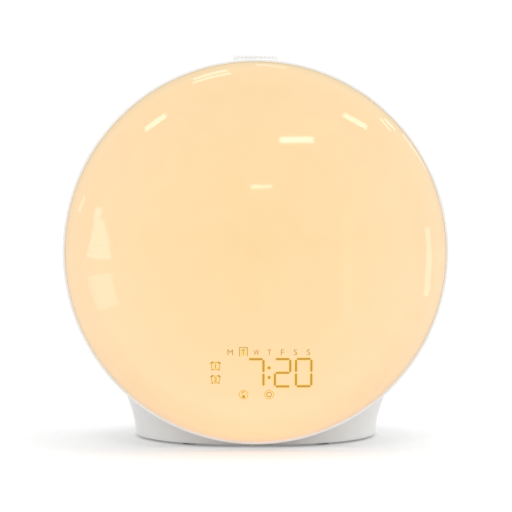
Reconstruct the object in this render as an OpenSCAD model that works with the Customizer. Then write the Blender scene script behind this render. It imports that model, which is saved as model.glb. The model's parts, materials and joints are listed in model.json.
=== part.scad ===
// Sunrise alarm clock: a round glowing front on a flared foot, with a knob on top.
// Millimetres. X runs to the right, Y to the back and Z up. The origin lies on the floor,
// under the middle of the whole clock. Depths called s are measured backwards from the
// front edge of the ring, and heights called v upwards from the ring's centre.

/* [Ring] */
// Outer diameter of the front ring
ring_d = 185; // [180:1:205]
// Depth of the front ring
ring_depth = 4.2; // [3.8:0.1:5.4]
// Width of the lip that shows round the diffuser
ring_lip = 1.4; // [1.2:0.1:2.4]
// How far the ring stands out beyond the drum
ring_step = 4.5; // [4:0.1:6]
// Height of the ring above the floor
ring_gap = 2.8; // [1.8:0.1:5]

/* [Diffuser] */
// How far the diffuser bulges in front of the ring
dome_bulge = 23; // [21:0.5:26]
// Radius of the diffuser's crown
dome_crown_r = 260; // [250:5:290]
// Lean of the diffuser's edge from the clock's axis
dome_edge_tilt = 30; // [25:1:34]
// Thickness of the diffuser
dome_wall = 2; // [1.6:0.1:2.4]
// Width of the diffuser's seating flange
dome_flange = 5; // [4:0.1:6]

/* [Body] */
// Depth of the body from the ring's front edge to the back
body_depth = 84; // [80:1:96]
// Thickness of the rear shell
wall = 2.2; // [1.8:0.1:2.8]
// Radius of the drum's barrel curve along its depth
barrel_r = 260; // [240:5:400]
// Radius that rounds the drum into its back
back_round = 26; // [22:1:30]

/* [Foot] */
// Width of the foot at the floor
foot_w = 118.8; // [112:0.2:126]
// Depth of the foot at the floor
foot_depth = 90; // [84:1:100]
// Distance from the ring's front edge back to the foot's front edge
foot_set = 8.5; // [6:0.5:14]
// Height of the foot's lower edge above the floor
foot_lift = 1; // [0.8:0.1:1.6]
// Radius of the flare at the foot's sides
flare_r = 44; // [36:1:60]
// Angle at which the flare runs out straight
flare_angle = 17; // [14:1:20]
// How much the foot's tail leans forward for each millimetre of height
tail_lean = 0.8; // [0.6:0.05:1]
// Thickness of the foot's shell
stand_wall = 2.5; // [2:0.1:3]
// Thickness of the plate that closes the foot
plate_t = 2; // [1.6:0.1:2.4]
// Diameter of each rubber pad
pad_d = 9; // [7:0.5:10]
// How far each rubber pad is let into the plate
pad_inset = 0.8; // [0.4:0.1:1]

/* [Knob] */
// Diameter of the knob over its ribs
knob_d = 21.8; // [20:0.2:24]
// Height of the knob
knob_h = 7; // [7:0.1:10]
// Distance from the ring's front edge back to the knob's axis
knob_s = 18; // [17.5:0.5:22]
// Number of ribs round the knob
knob_ribs = 30; // [24:1:36]
// How far the knob presses down
knob_press = 0.5; // [0.3:0.1:0.6]
// Depth of the flat that the knob turns over
knob_seat = 1.1; // [0.9:0.1:1.3]

/* [Side keys] */
// Length of each key along the drum
key_l = 13; // [11:0.5:14]
// Width of each key
key_w = 6.4; // [5:0.2:8]
// Distance between neighbouring keys
key_pitch = 20; // [19:0.5:22]
// Distance from the ring's front edge back to the keys
key_s = 30; // [27:1:36]
// How far the keys stand proud of the drum
key_proud = 1; // [0.9:0.1:1.6]
// How far a key travels
key_travel = 0.8; // [0.4:0.1:0.8]

/* [Readout] */
// Width of the readout window
display_w = 54; // [50:1:56]
// Height of the readout window
display_h = 27; // [25:0.5:28]
// Distance from the ring's outer edge up to the window's centre
display_rise = 34.5; // [33.5:0.5:38]
// Distance from the ring's centre to the right to the window's centre
display_x = 2.7; // [0:0.1:4]
// Height of the digits
digit_h = 14.2; // [12:0.1:15]
// Width of a digit
digit_w = 7.6; // [6:0.1:8]
// Distance between neighbouring digits
digit_pitch = 9.9; // [9:0.1:10.5]

/* [Light] */
// Distance between the readout window and the light board
led_board_gap = 2.5; // [1.5:0.5:6]
// Distance from the ring's front edge back to the reflector's floor
pan_s = 9; // [8.5:0.1:10]
// Number of rings of lights
led_rings = 3; // [2:1:3]

/* [Back] */
// Diameter of the speaker
speaker_d = 50; // [46:1:52]
// Height of the speaker's centre above the ring's centre
speaker_v = 14; // [14:0.5:17]
// Width of the slots in front of the speaker
grille_slot = 2; // [1.6:0.1:2.6]
// Distance between neighbouring slots
grille_pitch = 4.6; // [4:0.1:6]
// Distance from the clock's axis to each shell screw, along both directions
tower_x = 34; // [33:0.5:35]
// Distance from the main board's side edge to each socket
socket_edge = 10; // [9.5:0.5:11]
// Distance from the ring's centre down to the sockets
socket_drop = 8; // [7:0.5:9]
// Distance from the ring's centre down to the backup cell
cell_drop = 33; // [32.5:0.5:35]
// Diameter of the backup cell
cell_d = 20; // [19:0.5:20]
// Thickness of the backup cell
cell_t = 3.2; // [2.5:0.1:3.2]
// Angle that the cell door turns to come free
door_turn = 30; // [25:1:40]

/* [Boards] */
// Thickness of the circuit boards
board_t = 1.6; // [1.2:0.1:1.8]
// Width of the main board
board_w = 96; // [94:1:100]
// Height of the main board
board_h = 50; // [49:0.5:52]
// Depth of the sockets behind the main board
socket_depth = 14.4; // [13.5:0.1:15]

/* [Hidden] */
$fn = 72;
// Gap between fixed pieces that fit together
fit = 0.15;
// Gap round a piece that slides
slide_fit = 0.25;
// Radial gap of a turning shaft
turn_fit = 0.05;
// Overlap that keeps cuts clean
cut = 1;

ring_r = ring_d / 2;
centre_z = ring_r + ring_gap;
total_depth = dome_bulge + foot_set + foot_depth;
ring_y = dome_bulge - total_depth / 2;
foot_y = ring_y + foot_set + foot_depth / 2;

// Diffuser: a crown and an edge curve that meet smoothly
dome_r = ring_r - ring_lip - fit;
crown_s = dome_crown_r - dome_bulge;
edge_r = (pow(dome_crown_r, 2) - pow(dome_r, 2) - pow(crown_s, 2))
    / (2 * (dome_crown_r - dome_r * cos(dome_edge_tilt) - crown_s * sin(dome_edge_tilt)));
edge_x = dome_r - edge_r * cos(dome_edge_tilt);
edge_s = edge_r * sin(dome_edge_tilt);
flange_t = 2.2;
function dome_meet(inset) =
    [0, crown_s] + (dome_crown_r - inset) / (dome_crown_r - edge_r) * [edge_x, edge_s - crown_s];
function dome_s(r, inset) = r < dome_meet(inset)[0]
    ? crown_s - sqrt(pow(dome_crown_r - inset, 2) - r * r)
    : edge_s - sqrt(pow(edge_r - inset, 2) - pow(r - edge_x, 2));

// Drum: a barrel curve and a back curve that meet smoothly
drum_r = ring_r - ring_step;
back_s = body_depth - back_round;
barrel_x = drum_r - barrel_r;
back_x = barrel_x + sqrt(pow(barrel_r - back_round, 2) - pow(back_s - ring_depth, 2));
function drum_meet(inset) =
    ring_depth + (barrel_r - inset) * (back_s - ring_depth) / (barrel_r - back_round);
function drum_at(s) = barrel_x + sqrt(pow(barrel_r, 2) - pow(s - ring_depth, 2));
inner_back = body_depth - wall;

// Ring and reflector
sleeve_t = 2;
sleeve_len = 3.6;
sleeve_r = drum_r - wall - fit;
rib_r = dome_r - dome_flange - fit;
rib_w = 6;
rib_front = -1.5;
pan_t = 1.6;
pan_flange = 5.4;
pan_flange_r = sleeve_r - sleeve_t - fit;
pan_r = pan_flange_r - pan_flange;
ring_screw_r = pan_r + pan_flange / 2;
ring_screws_n = 6;
boss_d = 8;

// Shell screws
screw_d = 3;
screw_head_d = 5.6;
screw_head_t = 2;
tower_d = 10;
tower_tip = 52;
tower_web = 5;
screw_bite = 12;

// Small screws
small_d = 2;
small_head_d = 3.8;
small_head_t = 1.3;
small_bite = 4;
tip_gap = 0.4;

// Readout
display_drop = ring_r - display_rise;
display_corner = norm([abs(display_x) + display_w / 2, display_drop + display_h / 2]);
lens_t = 1.2;
lens_gap = 1.2;
lens_s = dome_s(display_corner, dome_wall) + lens_gap;
shroud_t = 1.2;
digits_t = 8;
segment_t = 0.4;
digits_s = lens_s + lens_t + segment_t;
digit_bar = 1.1;
digit_shift = 3.9;
digit_x = display_x + digit_shift;
colon_gap = 2.8;
display_board_s = digits_s + digits_t;

// Light board
led_s = pan_s - board_t;
led_size = [3.5, 2.8, 0.8];
led_board_r = display_drop - display_h / 2 - led_board_gap;
led_board_edge = 6;
led_step = (led_board_r - led_board_edge) / led_rings;
led_boss_r = led_board_r - 2 * led_board_edge;
led_boss_d = 6;
led_boss_len = 6;

// Back
speaker_ear = 4;
speaker_screw_r = speaker_d / 2 + speaker_ear;
grille_r = speaker_d / 2 - 6;
post_d = 6;
gasket_w = 4;
gasket_t = 2.8;
basket_t = 1.2;
speaker_s = inner_back - gasket_t - basket_t;
basket_depth = 12;
basket_rim = 5;
basket_hole_r = 4;
magnet_d = 28;
magnet_t = 8;
magnet_lip = 1;
cone_r = speaker_d / 2 - 8;
cone_t = 0.8;
roll_r = cone_r + 3.4;
roll_t = 0.6;
coil_r = 7;
coil_s = speaker_s - 6.2;
cap_t = 0.8;
cap_rise = 1.8;
cell_wall = 1.6;
door_d = cell_d + 4.6;
door_lug = 1.8;
door_lug_w = 5;
door_lug_t = 1.3;
door_neck = 1;
door_skirt = 1.6;
coin_slot = [14, 2.4, 1.2];
holder_fit = 0.6;
holder_r = door_d / 2 + door_lug + holder_fit + cell_wall;
holder_depth = 7.8;
cell_fit = 0.4;
cell_s = inner_back - door_skirt - 2 * cell_fit - cell_t;
contact_t = 0.25;
contact_w = 2.4;
contact_r = 4;
socket_entry = 0.2;
main_s = inner_back + socket_entry - socket_depth - board_t;
main_cut_r = magnet_d / 2 + 8;
main_edge = board_w / 2;
main_boss_edge = 5;
main_boss_side = 28;
main_boss_rise = 4;
main_bosses = [[main_edge - main_boss_edge, -22], [main_edge - main_boss_side, main_boss_rise - board_h]];
socket_x = main_edge - socket_edge;
jack_size = 9;
jack_lip = 0.3;
jack_bore = 5.6;
jack_pin = 2;
pin_gap = 1;
usb_size = [13.1, 5.7];
usb_round = 0.8;
usb_wall = 0.4;
usb_tongue = [10.6, 1.4];
socket_floor = 2;

// Side keys
key_round = 2;
key_flange = 1;
key_flange_t = 1;
key_post_d = 3;
key_edge_s = key_s + key_w / 2 + key_flange;
function key_x(v) = sqrt(pow(drum_at(key_edge_s) - wall, 2)
    - pow(abs(v) + key_l / 2 + key_flange, 2)) - slide_fit;
switch_size = 6;
switch_body_h = 3.5;
switch_h = 5;
switch_floor = 0.3;
switch_stem_d = 3.2;
stem_gap = 0.4;
post_min = 1;
switch_x = key_x(key_pitch) - key_flange_t - post_min - switch_h;
key_boss_reach = 12;
key_board_end = 3;
key_boss_v = key_pitch + key_boss_reach;
key_board_v = key_boss_v + key_board_end;
key_board_w = 12;

// Knob and encoder
knob_y = ring_y + knob_s;
seat_z = centre_z + drum_at(knob_s) - knob_seat;
seat_gap = 0.6;
seat_margin = 1;
knob_z = seat_z + seat_gap;
rib_d = 1.1;
rib_drop = 0.3;
knob_round = 1.5;
pad_r = 9;
pad_t = 2.4;
nut_flats = 10;
nut_t = 2;
bush_d = 7;
bush_h = 2.4;
shaft_d = 6;
shaft_flat = 1.5;
encoder_size = [12.4, 11.6, 6.5];
encoder_z = seat_z - pad_t - encoder_size[2];
encoder_floor = 0.5;
encoder_bore_r = 4.8;
encoder_roof = 1.2;
encoder_board_w = 16;
encoder_board_tail = 4;
plunger_t = 1;
plunger_gap = 0.1;
plunger_z = encoder_z + encoder_floor + knob_press + plunger_gap;
shaft_z = plunger_z + plunger_t;
press_gap = 0.3;
rotor_z = shaft_z + knob_press + press_gap;
rotor_t = 1.8;
rotor_r = 4.4;
shaft_root_d = 4;
knob_hollow_r = 8;
knob_hollow = bush_h + knob_press + press_gap - seat_gap;
shoulder_gap = 0.2;
knob_roof = 1.5;

// Stand
stand_a = foot_w / 2;
stand_b = foot_depth / 2;
straight_z = foot_lift + flare_r * sin(flare_angle);
straight_x = stand_a + flare_r * (1 - cos(flare_angle));
function flare_x(z) = z < straight_z
    ? stand_a + flare_r - sqrt(pow(flare_r, 2) - pow(z - foot_lift, 2))
    : straight_x + (z - straight_z) * tan(flare_angle);
function tail_y(z) = 2 * stand_b - tail_lean * (z - foot_lift);
stand_top = 50;
stand_rings = 8;
stand_sides = 48;
stand_screw_x = 40;
stand_screw_s = [34, 60];
stand_boss_d = 8.4;
stand_boss_top = 36;
stand_boss_roof = 2;
head_sink = 0.2;
plate_top = foot_lift + plate_t;
plate_boss_h = 2;
pad_angle = 52;
pad_edge = 1.6;

// Chips on the main board, [side, thickness, [x, v]]: controller, amplifier, regulator, radio
chips = [[10, 1.6, [-8, -24]], [6, 1.5, [-22, -22]], [6.5, 2.2, [main_edge - 18, -14]],
    [5, 1.2, [main_edge - 23, -42]]];
// Capacitors on the main board, [height, [x, v]]
capacitor_r = 3.15;
capacitors = [[10, [20, -9]], [12, [main_edge - 12, 4 - board_h]], [8, [-12, -40]]];

// Connectors on the main board, [x, v]: lights, readout, knob, speaker and keys
connector_size = [7, 5];
connector_t = 4;
connectors = [[14, -20], [3, -34], [-24, -6], [-33, -16], [main_edge - 7, -12], [7 - main_edge, -12]];
function plug_end(i) = [connectors[i][0], main_s - connector_t, connectors[i][1]];

// Leads: route points chosen by hand, [x, s, v]. Each end is square to what it meets.
lead_d = 2.4;
led_hole = [12, -8];
ribbon_hole = [3, -display_drop];
lead_hole_d = 7;
led_route = [[led_hole[0], pan_s, led_hole[1]], [12, 20, -8], [12, 42, -14], [14, 56, -20], plug_end(0)];
ribbon_route = [[ribbon_hole[0], display_board_s + board_t, ribbon_hole[1]],
    [3, 14, -display_drop], [3, 30, 6 - display_drop], [3, 48, -38], [3, 56, -34], plug_end(1)];
encoder_route = [[-6, 22, encoder_z - board_t - centre_z],
    [-6, 22, 68], [-18, 42, 42], [-24, 52, 6], [-24, 57, -6], plug_end(2)];
speaker_route = [[-21.5, 74, 10], [-24, 70, 5], [-27, 66, 4], [-31, 60, 0], [-33, 57, -8],
    [-33, 57, -16], plug_end(3)];
key_lead_x = switch_x - board_t;
key_lead_out = 6.6;
key_route = [[key_lead_x, key_s, 0], [key_lead_x - key_lead_out, key_s, 0],
    [(key_lead_x - key_lead_out + plug_end(4)[0]) / 2, 42, -6], [plug_end(4)[0], 50, -12], plug_end(4)];

// Draws in x and v, seen from the front, with the drawing's own Z running forwards
module at_front() { translate([0, ring_y, centre_z]) rotate([90, 0, 0]) children(); }

// Extrudes a drawing in x and v from depth s0 back to depth s1
module slab(s0, s1) { at_front() translate([0, 0, -s1]) linear_extrude(height = s1 - s0) children(); }

// Turns a drawing in radius and s about the clock's axis
module turned() { at_front() mirror([0, 0, 1]) rotate_extrude($fn = 180) children(); }

module ring_2d(r0, r1, s0, s1) { translate([r0, s0]) square([r1 - r0, s1 - s0]); }

module rounded(size, r) {
    square([size[0] - 2 * r, size[1]], center = true);
    square([size[0], size[1] - 2 * r], center = true);
    for (x = [-1, 1], y = [-1, 1])
        translate([x * (size[0] / 2 - r), y * (size[1] / 2 - r)]) circle(r, $fn = 32);
}

module dome_2d(inset) {
    meet = dome_meet(inset);
    intersection() {
        translate([0, crown_s]) circle(dome_crown_r - inset, $fn = 360);
        translate([0, -dome_bulge * 2]) square([dome_r * 2, meet[1] + dome_bulge * 2]);
    }
    intersection() {
        union() {
            translate([edge_x, edge_s]) circle(edge_r - inset, $fn = 96);
            translate([0, -dome_bulge * 2]) square([edge_x, dome_bulge * 3]);
        }
        translate([0, meet[1]]) square([dome_r * 2, -meet[1]]);
    }
}

module drum_2d(inset, front) {
    meet = drum_meet(inset);
    intersection() {
        translate([barrel_x, ring_depth]) circle(barrel_r - inset, $fn = 360);
        translate([0, front]) square([ring_r * 2, meet - front]);
    }
    intersection() {
        union() {
            translate([back_x, back_s]) circle(back_round - inset, $fn = 96);
            translate([0, front]) square([back_x, body_depth - inset - front]);
        }
        translate([0, meet]) square([ring_r * 2, body_depth]);
    }
}

module drum(inset, front) { turned() drum_2d(inset, front); }

module diffuser_dome() color("navajowhite") turned() {
    difference() {
        dome_2d(0);
        dome_2d(dome_wall);
    }
    ring_2d(dome_r - dome_flange, dome_r, 0, flange_t);
}

module front_ring() color("white") difference() {
    turned() {
        ring_2d(dome_r + fit, ring_r, 0, ring_depth);
        ring_2d(rib_r - rib_w, ring_r, flange_t + fit, ring_depth);
        ring_2d(rib_r - rib_w, rib_r, rib_front, ring_depth);
        ring_2d(sleeve_r - sleeve_t, sleeve_r, ring_depth, ring_depth + sleeve_len);
    }
    for (i = [0 : ring_screws_n - 1]) ring_screw_hole(i, small_d + 2 * turn_fit, small_bite);
}

module on_ring(i) { rotate((i + 0.5) * 360 / ring_screws_n) translate([ring_screw_r, 0]) children(); }

module ring_screw_hole(i, d, depth) {
    slab(ring_depth - depth, ring_depth + pan_t + cut) on_ring(i) circle(d / 2, $fn = 24);
}

module reflector() color("whitesmoke") difference() {
    union() {
        turned() {
            ring_2d(pan_r - pan_t, pan_flange_r, ring_depth, ring_depth + pan_t);
            ring_2d(pan_r - pan_t, pan_r, ring_depth, pan_s + pan_t);
            ring_2d(0, pan_r, pan_s, pan_s + pan_t);
        }
        slab(pan_s, tower_tip) towers_2d(boss_d);
        slab(pan_s, pan_s + led_boss_len) led_bosses_2d(led_boss_d);
    }
    for (i = [0 : ring_screws_n - 1]) ring_screw_hole(i, small_d + 4 * fit, small_bite);
    slab(tower_tip - screw_bite - cut, tower_tip + cut) towers_2d(screw_d + 2 * turn_fit);
    slab(pan_s - cut, pan_s + led_boss_len + cut) led_bosses_2d(small_d + 2 * turn_fit);
    slab(pan_s - cut, pan_s + pan_t + cut) {
        translate(ribbon_hole) circle(lead_hole_d / 2);
        translate(led_hole) circle(lead_hole_d / 2);
    }
}

module towers_2d(d) {
    for (x = [-1, 1], v = [-1, 1]) translate([x * tower_x, v * tower_x]) circle(d / 2, $fn = 32);
}

module led_bosses_2d(d) {
    for (a = [30 : 120 : 270]) rotate(a) translate([led_boss_r, 0]) circle(d / 2, $fn = 24);
}

module led_board() color("ivory") slab(led_s, pan_s) difference() {
    circle(led_board_r);
    led_bosses_2d(small_d + 4 * fit);
}

module leds() color("yellow") for (k = [1 : led_rings], i = [0 : 6 * k - 1])
    slab(led_s - led_size[2], led_s) rotate((i + 0.5) * 60 / k) translate([k * led_step, 0])
        square([led_size[1], led_size[0]], center = true);

module led_screws() color("silver") for (a = [30 : 120 : 270])
    at_front() rotate(a) translate([led_boss_r, 0, 0]) {
        translate([0, 0, -led_s]) cylinder(d = small_head_d, h = small_head_t, $fn = 24);
        translate([0, 0, -led_s - small_bite - board_t])
            cylinder(d = small_d, h = small_bite + board_t, $fn = 24);
    }

module display_at() { translate([display_x, -display_drop]) children(); }

module display_lens() color("orange") slab(lens_s, lens_s + lens_t)
    display_at() square([display_w, display_h], center = true);

// The readout's outline shrunk by inset, with its lower corners trimmed where the reflector's
// wall curves past them
module display_2d(inset) intersection() {
    display_at() square([display_w - 2 * inset, display_h - 2 * inset], center = true);
    circle(pan_r - pan_t - fit - inset);
}

module display_shroud() color("dimgray") difference() {
    slab(lens_s + lens_t, pan_s) display_2d(0);
    slab(lens_s, pan_s + cut) display_2d(shroud_t);
}

module digits_at() {
    for (i = [-1.5 : 1.5])
        translate([digit_x + i * digit_pitch + sign(i) * colon_gap / 2, -display_drop]) children();
}

module display_digits() color("black") slab(digits_s, display_board_s)
    translate([digit_x, -display_drop])
        square([4 * digit_pitch + colon_gap, digit_h + 2 * digit_bar], center = true);

// Seven bars for each digit and two dots, a little in front of the block that holds them
module display_segments() color("orange") slab(lens_s + lens_t, digits_s) {
    bar_x = digit_w - 2 * digit_bar;
    bar_v = digit_h / 2 - 2 * digit_bar;
    digits_at() {
        for (v = [-1, 0, 1]) translate([0, v * (digit_h - digit_bar) / 2])
            square([bar_x, digit_bar], center = true);
        for (x = [-1, 1], v = [-1, 1]) translate([x * (digit_w - digit_bar) / 2, v * digit_h / 4])
            square([digit_bar, bar_v], center = true);
    }
    for (v = [-1, 1]) translate([digit_x, v * digit_h / 6 - display_drop]) circle(digit_bar / 2, $fn = 24);
}

module display_board() color("darkgreen") slab(display_board_s, display_board_s + board_t)
    display_2d(shroud_t + fit);

module rear_shell() color("white") difference() {
    union() {
        difference() {
            drum(0, ring_depth);
            drum(wall, ring_depth - cut);
        }
        intersection() {
            drum(wall / 2, ring_depth + sleeve_len + fit);
            shell_bosses();
        }
    }
    shell_holes();
}

module main_bosses_2d(d) {
    for (p = main_bosses, x = [-1, 1]) translate([x * p[0], p[1]]) circle(d / 2, $fn = 32);
}

module speaker_posts_2d(d) {
    for (a = [45 : 90 : 359]) translate([0, speaker_v]) rotate(a) translate([speaker_screw_r, 0])
        circle(d / 2, $fn = 24);
}

module key_bosses(d, x0, x1) {
    for (side = [-1, 1], v = [-1, 1]) translate([side * x0, ring_y + key_s, centre_z + v * key_boss_v])
        rotate([0, side * 90, 0]) cylinder(d = d, h = x1 - x0, $fn = 24);
}

module stand_screw_at() {
    for (x = [-1, 1], s = stand_screw_s) translate([x * stand_screw_x, ring_y + s, 0]) children();
}

module shell_bosses() {
    slab(tower_tip, body_depth) towers_2d(tower_d);
    slab(main_s + board_t, body_depth) main_bosses_2d(post_d);
    slab(speaker_s + basket_t, body_depth) speaker_posts_2d(post_d);
    key_bosses(post_d, switch_x, drum_r);
    stand_screw_at() cylinder(d = stand_boss_d, h = stand_boss_top);
    translate([0, knob_y, seat_z - pad_t]) cylinder(r = pad_r, h = pad_t + knob_seat);
}

module shell_holes() {
    // Screw wells
    slab(tower_tip + tower_web, body_depth + cut) towers_2d(screw_head_d + 4 * fit);
    slab(tower_tip - cut, body_depth) towers_2d(screw_d + 2 * fit);
    // Pilot holes
    slab(main_s, main_s + board_t + small_bite + small_d) main_bosses_2d(small_d + 2 * turn_fit);
    slab(speaker_s, inner_back + wall / 2) speaker_posts_2d(small_d + 2 * turn_fit);
    key_bosses(small_d + 2 * turn_fit, switch_x - cut, switch_x + small_bite);
    stand_screw_at() cylinder(d = screw_d + 2 * turn_fit, h = stand_boss_top - stand_boss_roof);
    // Openings
    slab(inner_back - cut, body_depth + cut) {
        grille_2d();
        jack_at() circle(jack_size / 2 - jack_lip);
        usb_at() rounded([usb_size[0] + 2 * fit, usb_size[1] + 2 * fit], usb_round);
        translate([0, -cell_drop]) door_hole_2d();
    }
    for (side = [-1, 1], row = [-1, 0, 1]) key_prism(side, row, slide_fit, key_x(key_pitch), ring_r);
    translate([0, knob_y, seat_z]) cylinder(r = knob_d / 2 + seat_margin, h = knob_d);
    translate([0, knob_y, seat_z - pad_t - cut]) cylinder(d = bush_d + 2 * fit, h = pad_t + 2 * cut);
}

// Slots with round ends that fill a circle over the speaker
module grille_2d() {
    rows = floor((grille_r - grille_slot / 2) / grille_pitch);
    translate([0, speaker_v]) for (i = [-rows : rows]) translate([0, i * grille_pitch]) {
        half = sqrt(pow(grille_r, 2) - pow(i * grille_pitch, 2)) - grille_slot / 2;
        square([2 * half, grille_slot], center = true);
        for (x = [-1, 1]) translate([x * half, 0]) circle(grille_slot / 2, $fn = 24);
    }
}

module lugs_2d(r, extra) {
    for (a = [0, 180]) rotate(a) translate([0, -door_lug_w / 2 - extra])
        square([r, door_lug_w + 2 * extra]);
}

module door_hole_2d() {
    circle(door_d / 2 + slide_fit);
    rotate(door_turn) lugs_2d(door_d / 2 + door_lug + slide_fit, slide_fit);
}

module cell_at(s0, s1) { slab(s0, s1) translate([0, -cell_drop]) children(); }

module cell_door() color("white") difference() {
    union() {
        cell_at(inner_back - slide_fit, body_depth) circle(door_d / 2);
        cell_at(inner_back - slide_fit - door_lug_t, inner_back - slide_fit) {
            circle(door_d / 2 - door_neck);
            intersection() {
                lugs_2d(door_d, 0);
                circle(door_d / 2 + door_lug);
            }
        }
    }
    cell_at(body_depth - coin_slot[2], body_depth + cut)
        rounded([coin_slot[0], coin_slot[1]], coin_slot[1] / 2 - fit);
}

module cell_holder() color("whitesmoke") difference() {
    cell_at(inner_back - holder_depth, inner_back) circle(holder_r);
    cell_at(inner_back - door_skirt - holder_fit, inner_back + cut) circle(holder_r - cell_wall);
    cell_at(cell_s - cell_fit, inner_back) circle(cell_d / 2 + cell_fit);
}

module coin_cell() color("silver") cell_at(cell_s, cell_s + cell_t) circle(cell_d / 2);

module cell_contacts() color("gold") {
    cell_at(cell_s - contact_t, cell_s) circle(contact_r, $fn = 24);
    cell_at(cell_s, cell_s + cell_t - contact_t) translate([(cell_d + cell_fit) / 2, 0])
        square([contact_t, contact_w], center = true);
}

module main_board() color("darkgreen") slab(main_s, main_s + board_t) difference() {
    translate([-main_edge, -board_h]) square([board_w, board_h]);
    translate([0, speaker_v]) circle(main_cut_r);
    towers_2d(tower_d + 8 * fit);
    main_bosses_2d(small_d + 4 * fit);
}

module board_chips() color("black") for (c = chips)
    slab(main_s - c[1], main_s) translate(c[2]) square([c[0], c[0]], center = true);

module board_capacitors() color("slategray") for (c = capacitors)
    slab(main_s - c[0], main_s) translate(c[1]) circle(capacitor_r, $fn = 32);

module board_connectors() color("ivory") for (p = connectors)
    slab(main_s - connector_t, main_s) translate(p) square(connector_size, center = true);

module dc_inlet() color("black") {
    slab(main_s + board_t, inner_back) jack_at() difference() {
        square(jack_size, center = true);
        circle(jack_bore / 2);
    }
    slab(main_s + board_t, main_s + board_t + socket_floor) jack_at() circle(jack_bore / 2 + fit);
    slab(main_s + board_t, inner_back - pin_gap) jack_at() circle(jack_pin / 2, $fn = 24);
}

module jack_at() { translate([-socket_x, -socket_drop]) children(); }

module usb_at() { translate([socket_x, -socket_drop]) children(); }

module usb_socket() color("silver") {
    usb_inner = [for (side = usb_size) side - 2 * usb_wall];
    slab(main_s + board_t, inner_back + wall / 2) usb_at() difference() {
        square(usb_size, center = true);
        square(usb_inner, center = true);
    }
    slab(main_s + board_t, main_s + board_t + socket_floor) usb_at()
        square([for (side = usb_inner) side + fit], center = true);
    slab(main_s + board_t, inner_back - pin_gap) usb_at() translate([0, usb_tongue[1] / 2])
        square(usb_tongue, center = true);
}

module at_speaker() { translate([0, 0, speaker_v]) children(); }

module speaker_basket() color("dimgray") difference() {
    union() {
        at_speaker() turned() {
            rim_r = speaker_d / 2 - basket_rim;
            floor_r = magnet_d / 2 + magnet_lip;
            floor_s = speaker_s - basket_depth + basket_t;
            ring_2d(rim_r, speaker_d / 2, speaker_s, speaker_s + basket_t);
            polygon([[rim_r + basket_t, speaker_s + basket_t / 2],
                [rim_r + 2 * basket_t, speaker_s + basket_t / 2],
                [floor_r, floor_s], [floor_r - basket_t, floor_s]]);
            ring_2d(basket_hole_r, floor_r, floor_s - basket_t, floor_s);
        }
        slab(speaker_s, speaker_s + basket_t) intersection() {
            speaker_ears_2d();
            translate([0, speaker_v]) circle(speaker_screw_r + post_d / 2);
        }
    }
    slab(speaker_s - cut, speaker_s + basket_t + cut) speaker_posts_2d(small_d + 4 * fit);
}

module speaker_ears_2d() {
    translate([0, speaker_v]) for (a = [45 : 90 : 359]) rotate(a)
        translate([(speaker_d - speaker_ear) / 2, -post_d / 2]) square([speaker_screw_r, post_d]);
}

module speaker_magnet() color("silver") at_speaker() turned()
    ring_2d(0, magnet_d / 2, speaker_s - basket_depth - magnet_t, speaker_s - basket_depth);

module speaker_cone() color("black") at_speaker() turned() {
    roll_s = speaker_s + basket_t;
    polygon([[coil_r, coil_s - cone_t], [cone_r, roll_s - roll_t], [cone_r, roll_s],
        [roll_r, roll_s], [roll_r, roll_s + roll_t], [cone_r - roll_t / 2, roll_s + roll_t],
        [coil_r, coil_s]]);
    polygon([[0, coil_s + cap_rise - cap_t], [coil_r, coil_s - cap_t], [coil_r + cap_t / 2, coil_s - cap_t],
        [coil_r + cap_t / 2, coil_s], [0, coil_s + cap_rise]]);
}

module speaker_gasket() color("dimgray") at_speaker() turned()
    ring_2d(speaker_d / 2 - gasket_w, speaker_d / 2, speaker_s + basket_t, inner_back);

// A prism along X with the outline of a key, grown by grow, from x0 out to x1
module key_prism(side, row, grow, x0, x1) {
    translate([side * x0, ring_y + key_s, centre_z + row * key_pitch]) rotate([0, side * 90, 0])
        linear_extrude(height = x1 - x0) rounded([key_l + 2 * grow, key_w + 2 * grow], key_round + grow);
}

module side_key(side, row) {
    x = key_x(row * key_pitch);
    color("whitesmoke") {
        intersection() {
            key_prism(side, row, 0, x - key_flange_t / 2, ring_r);
            drum(-key_proud, ring_depth);
        }
        key_prism(side, row, key_flange, x - key_flange_t, x);
        translate([side * (switch_x + switch_h), ring_y + key_s, centre_z + row * key_pitch])
            rotate([0, side * 90, 0])
                cylinder(d = key_post_d, h = x - key_flange_t / 2 - switch_x - switch_h, $fn = 24);
    }
}

module key_stem(side, row) color("dimgray")
    translate([side * (switch_x + key_travel + stem_gap), ring_y + key_s, centre_z + row * key_pitch])
        rotate([0, side * 90, 0])
            cylinder(d = switch_stem_d, h = switch_h - key_travel - stem_gap, $fn = 24);

module switches(side) color("black") for (row = [-1, 0, 1])
    translate([side * switch_x, ring_y + key_s, centre_z + row * key_pitch])
        rotate([0, side * 90, 0]) difference() {
            translate([0, 0, switch_body_h / 2])
                cube([switch_size, switch_size, switch_body_h], center = true);
            translate([0, 0, switch_floor])
                cylinder(d = switch_stem_d + 2 * turn_fit, h = switch_body_h, $fn = 24);
        }

module key_board(side) color("darkgreen") difference() {
    translate([side * (switch_x - board_t / 2), ring_y + key_s, centre_z])
        cube([board_t, key_board_w, 2 * key_board_v], center = true);
    key_bosses(small_d + 4 * fit, switch_x - board_t - cut, switch_x + cut);
}

module key_board_screws() color("silver") {
    key_bosses(small_head_d, switch_x - board_t - small_head_t, switch_x - board_t);
    key_bosses(small_d, switch_x - board_t, switch_x + small_bite - tip_gap);
}

module at_knob(z) { translate([0, knob_y, z]) children(); }

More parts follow.
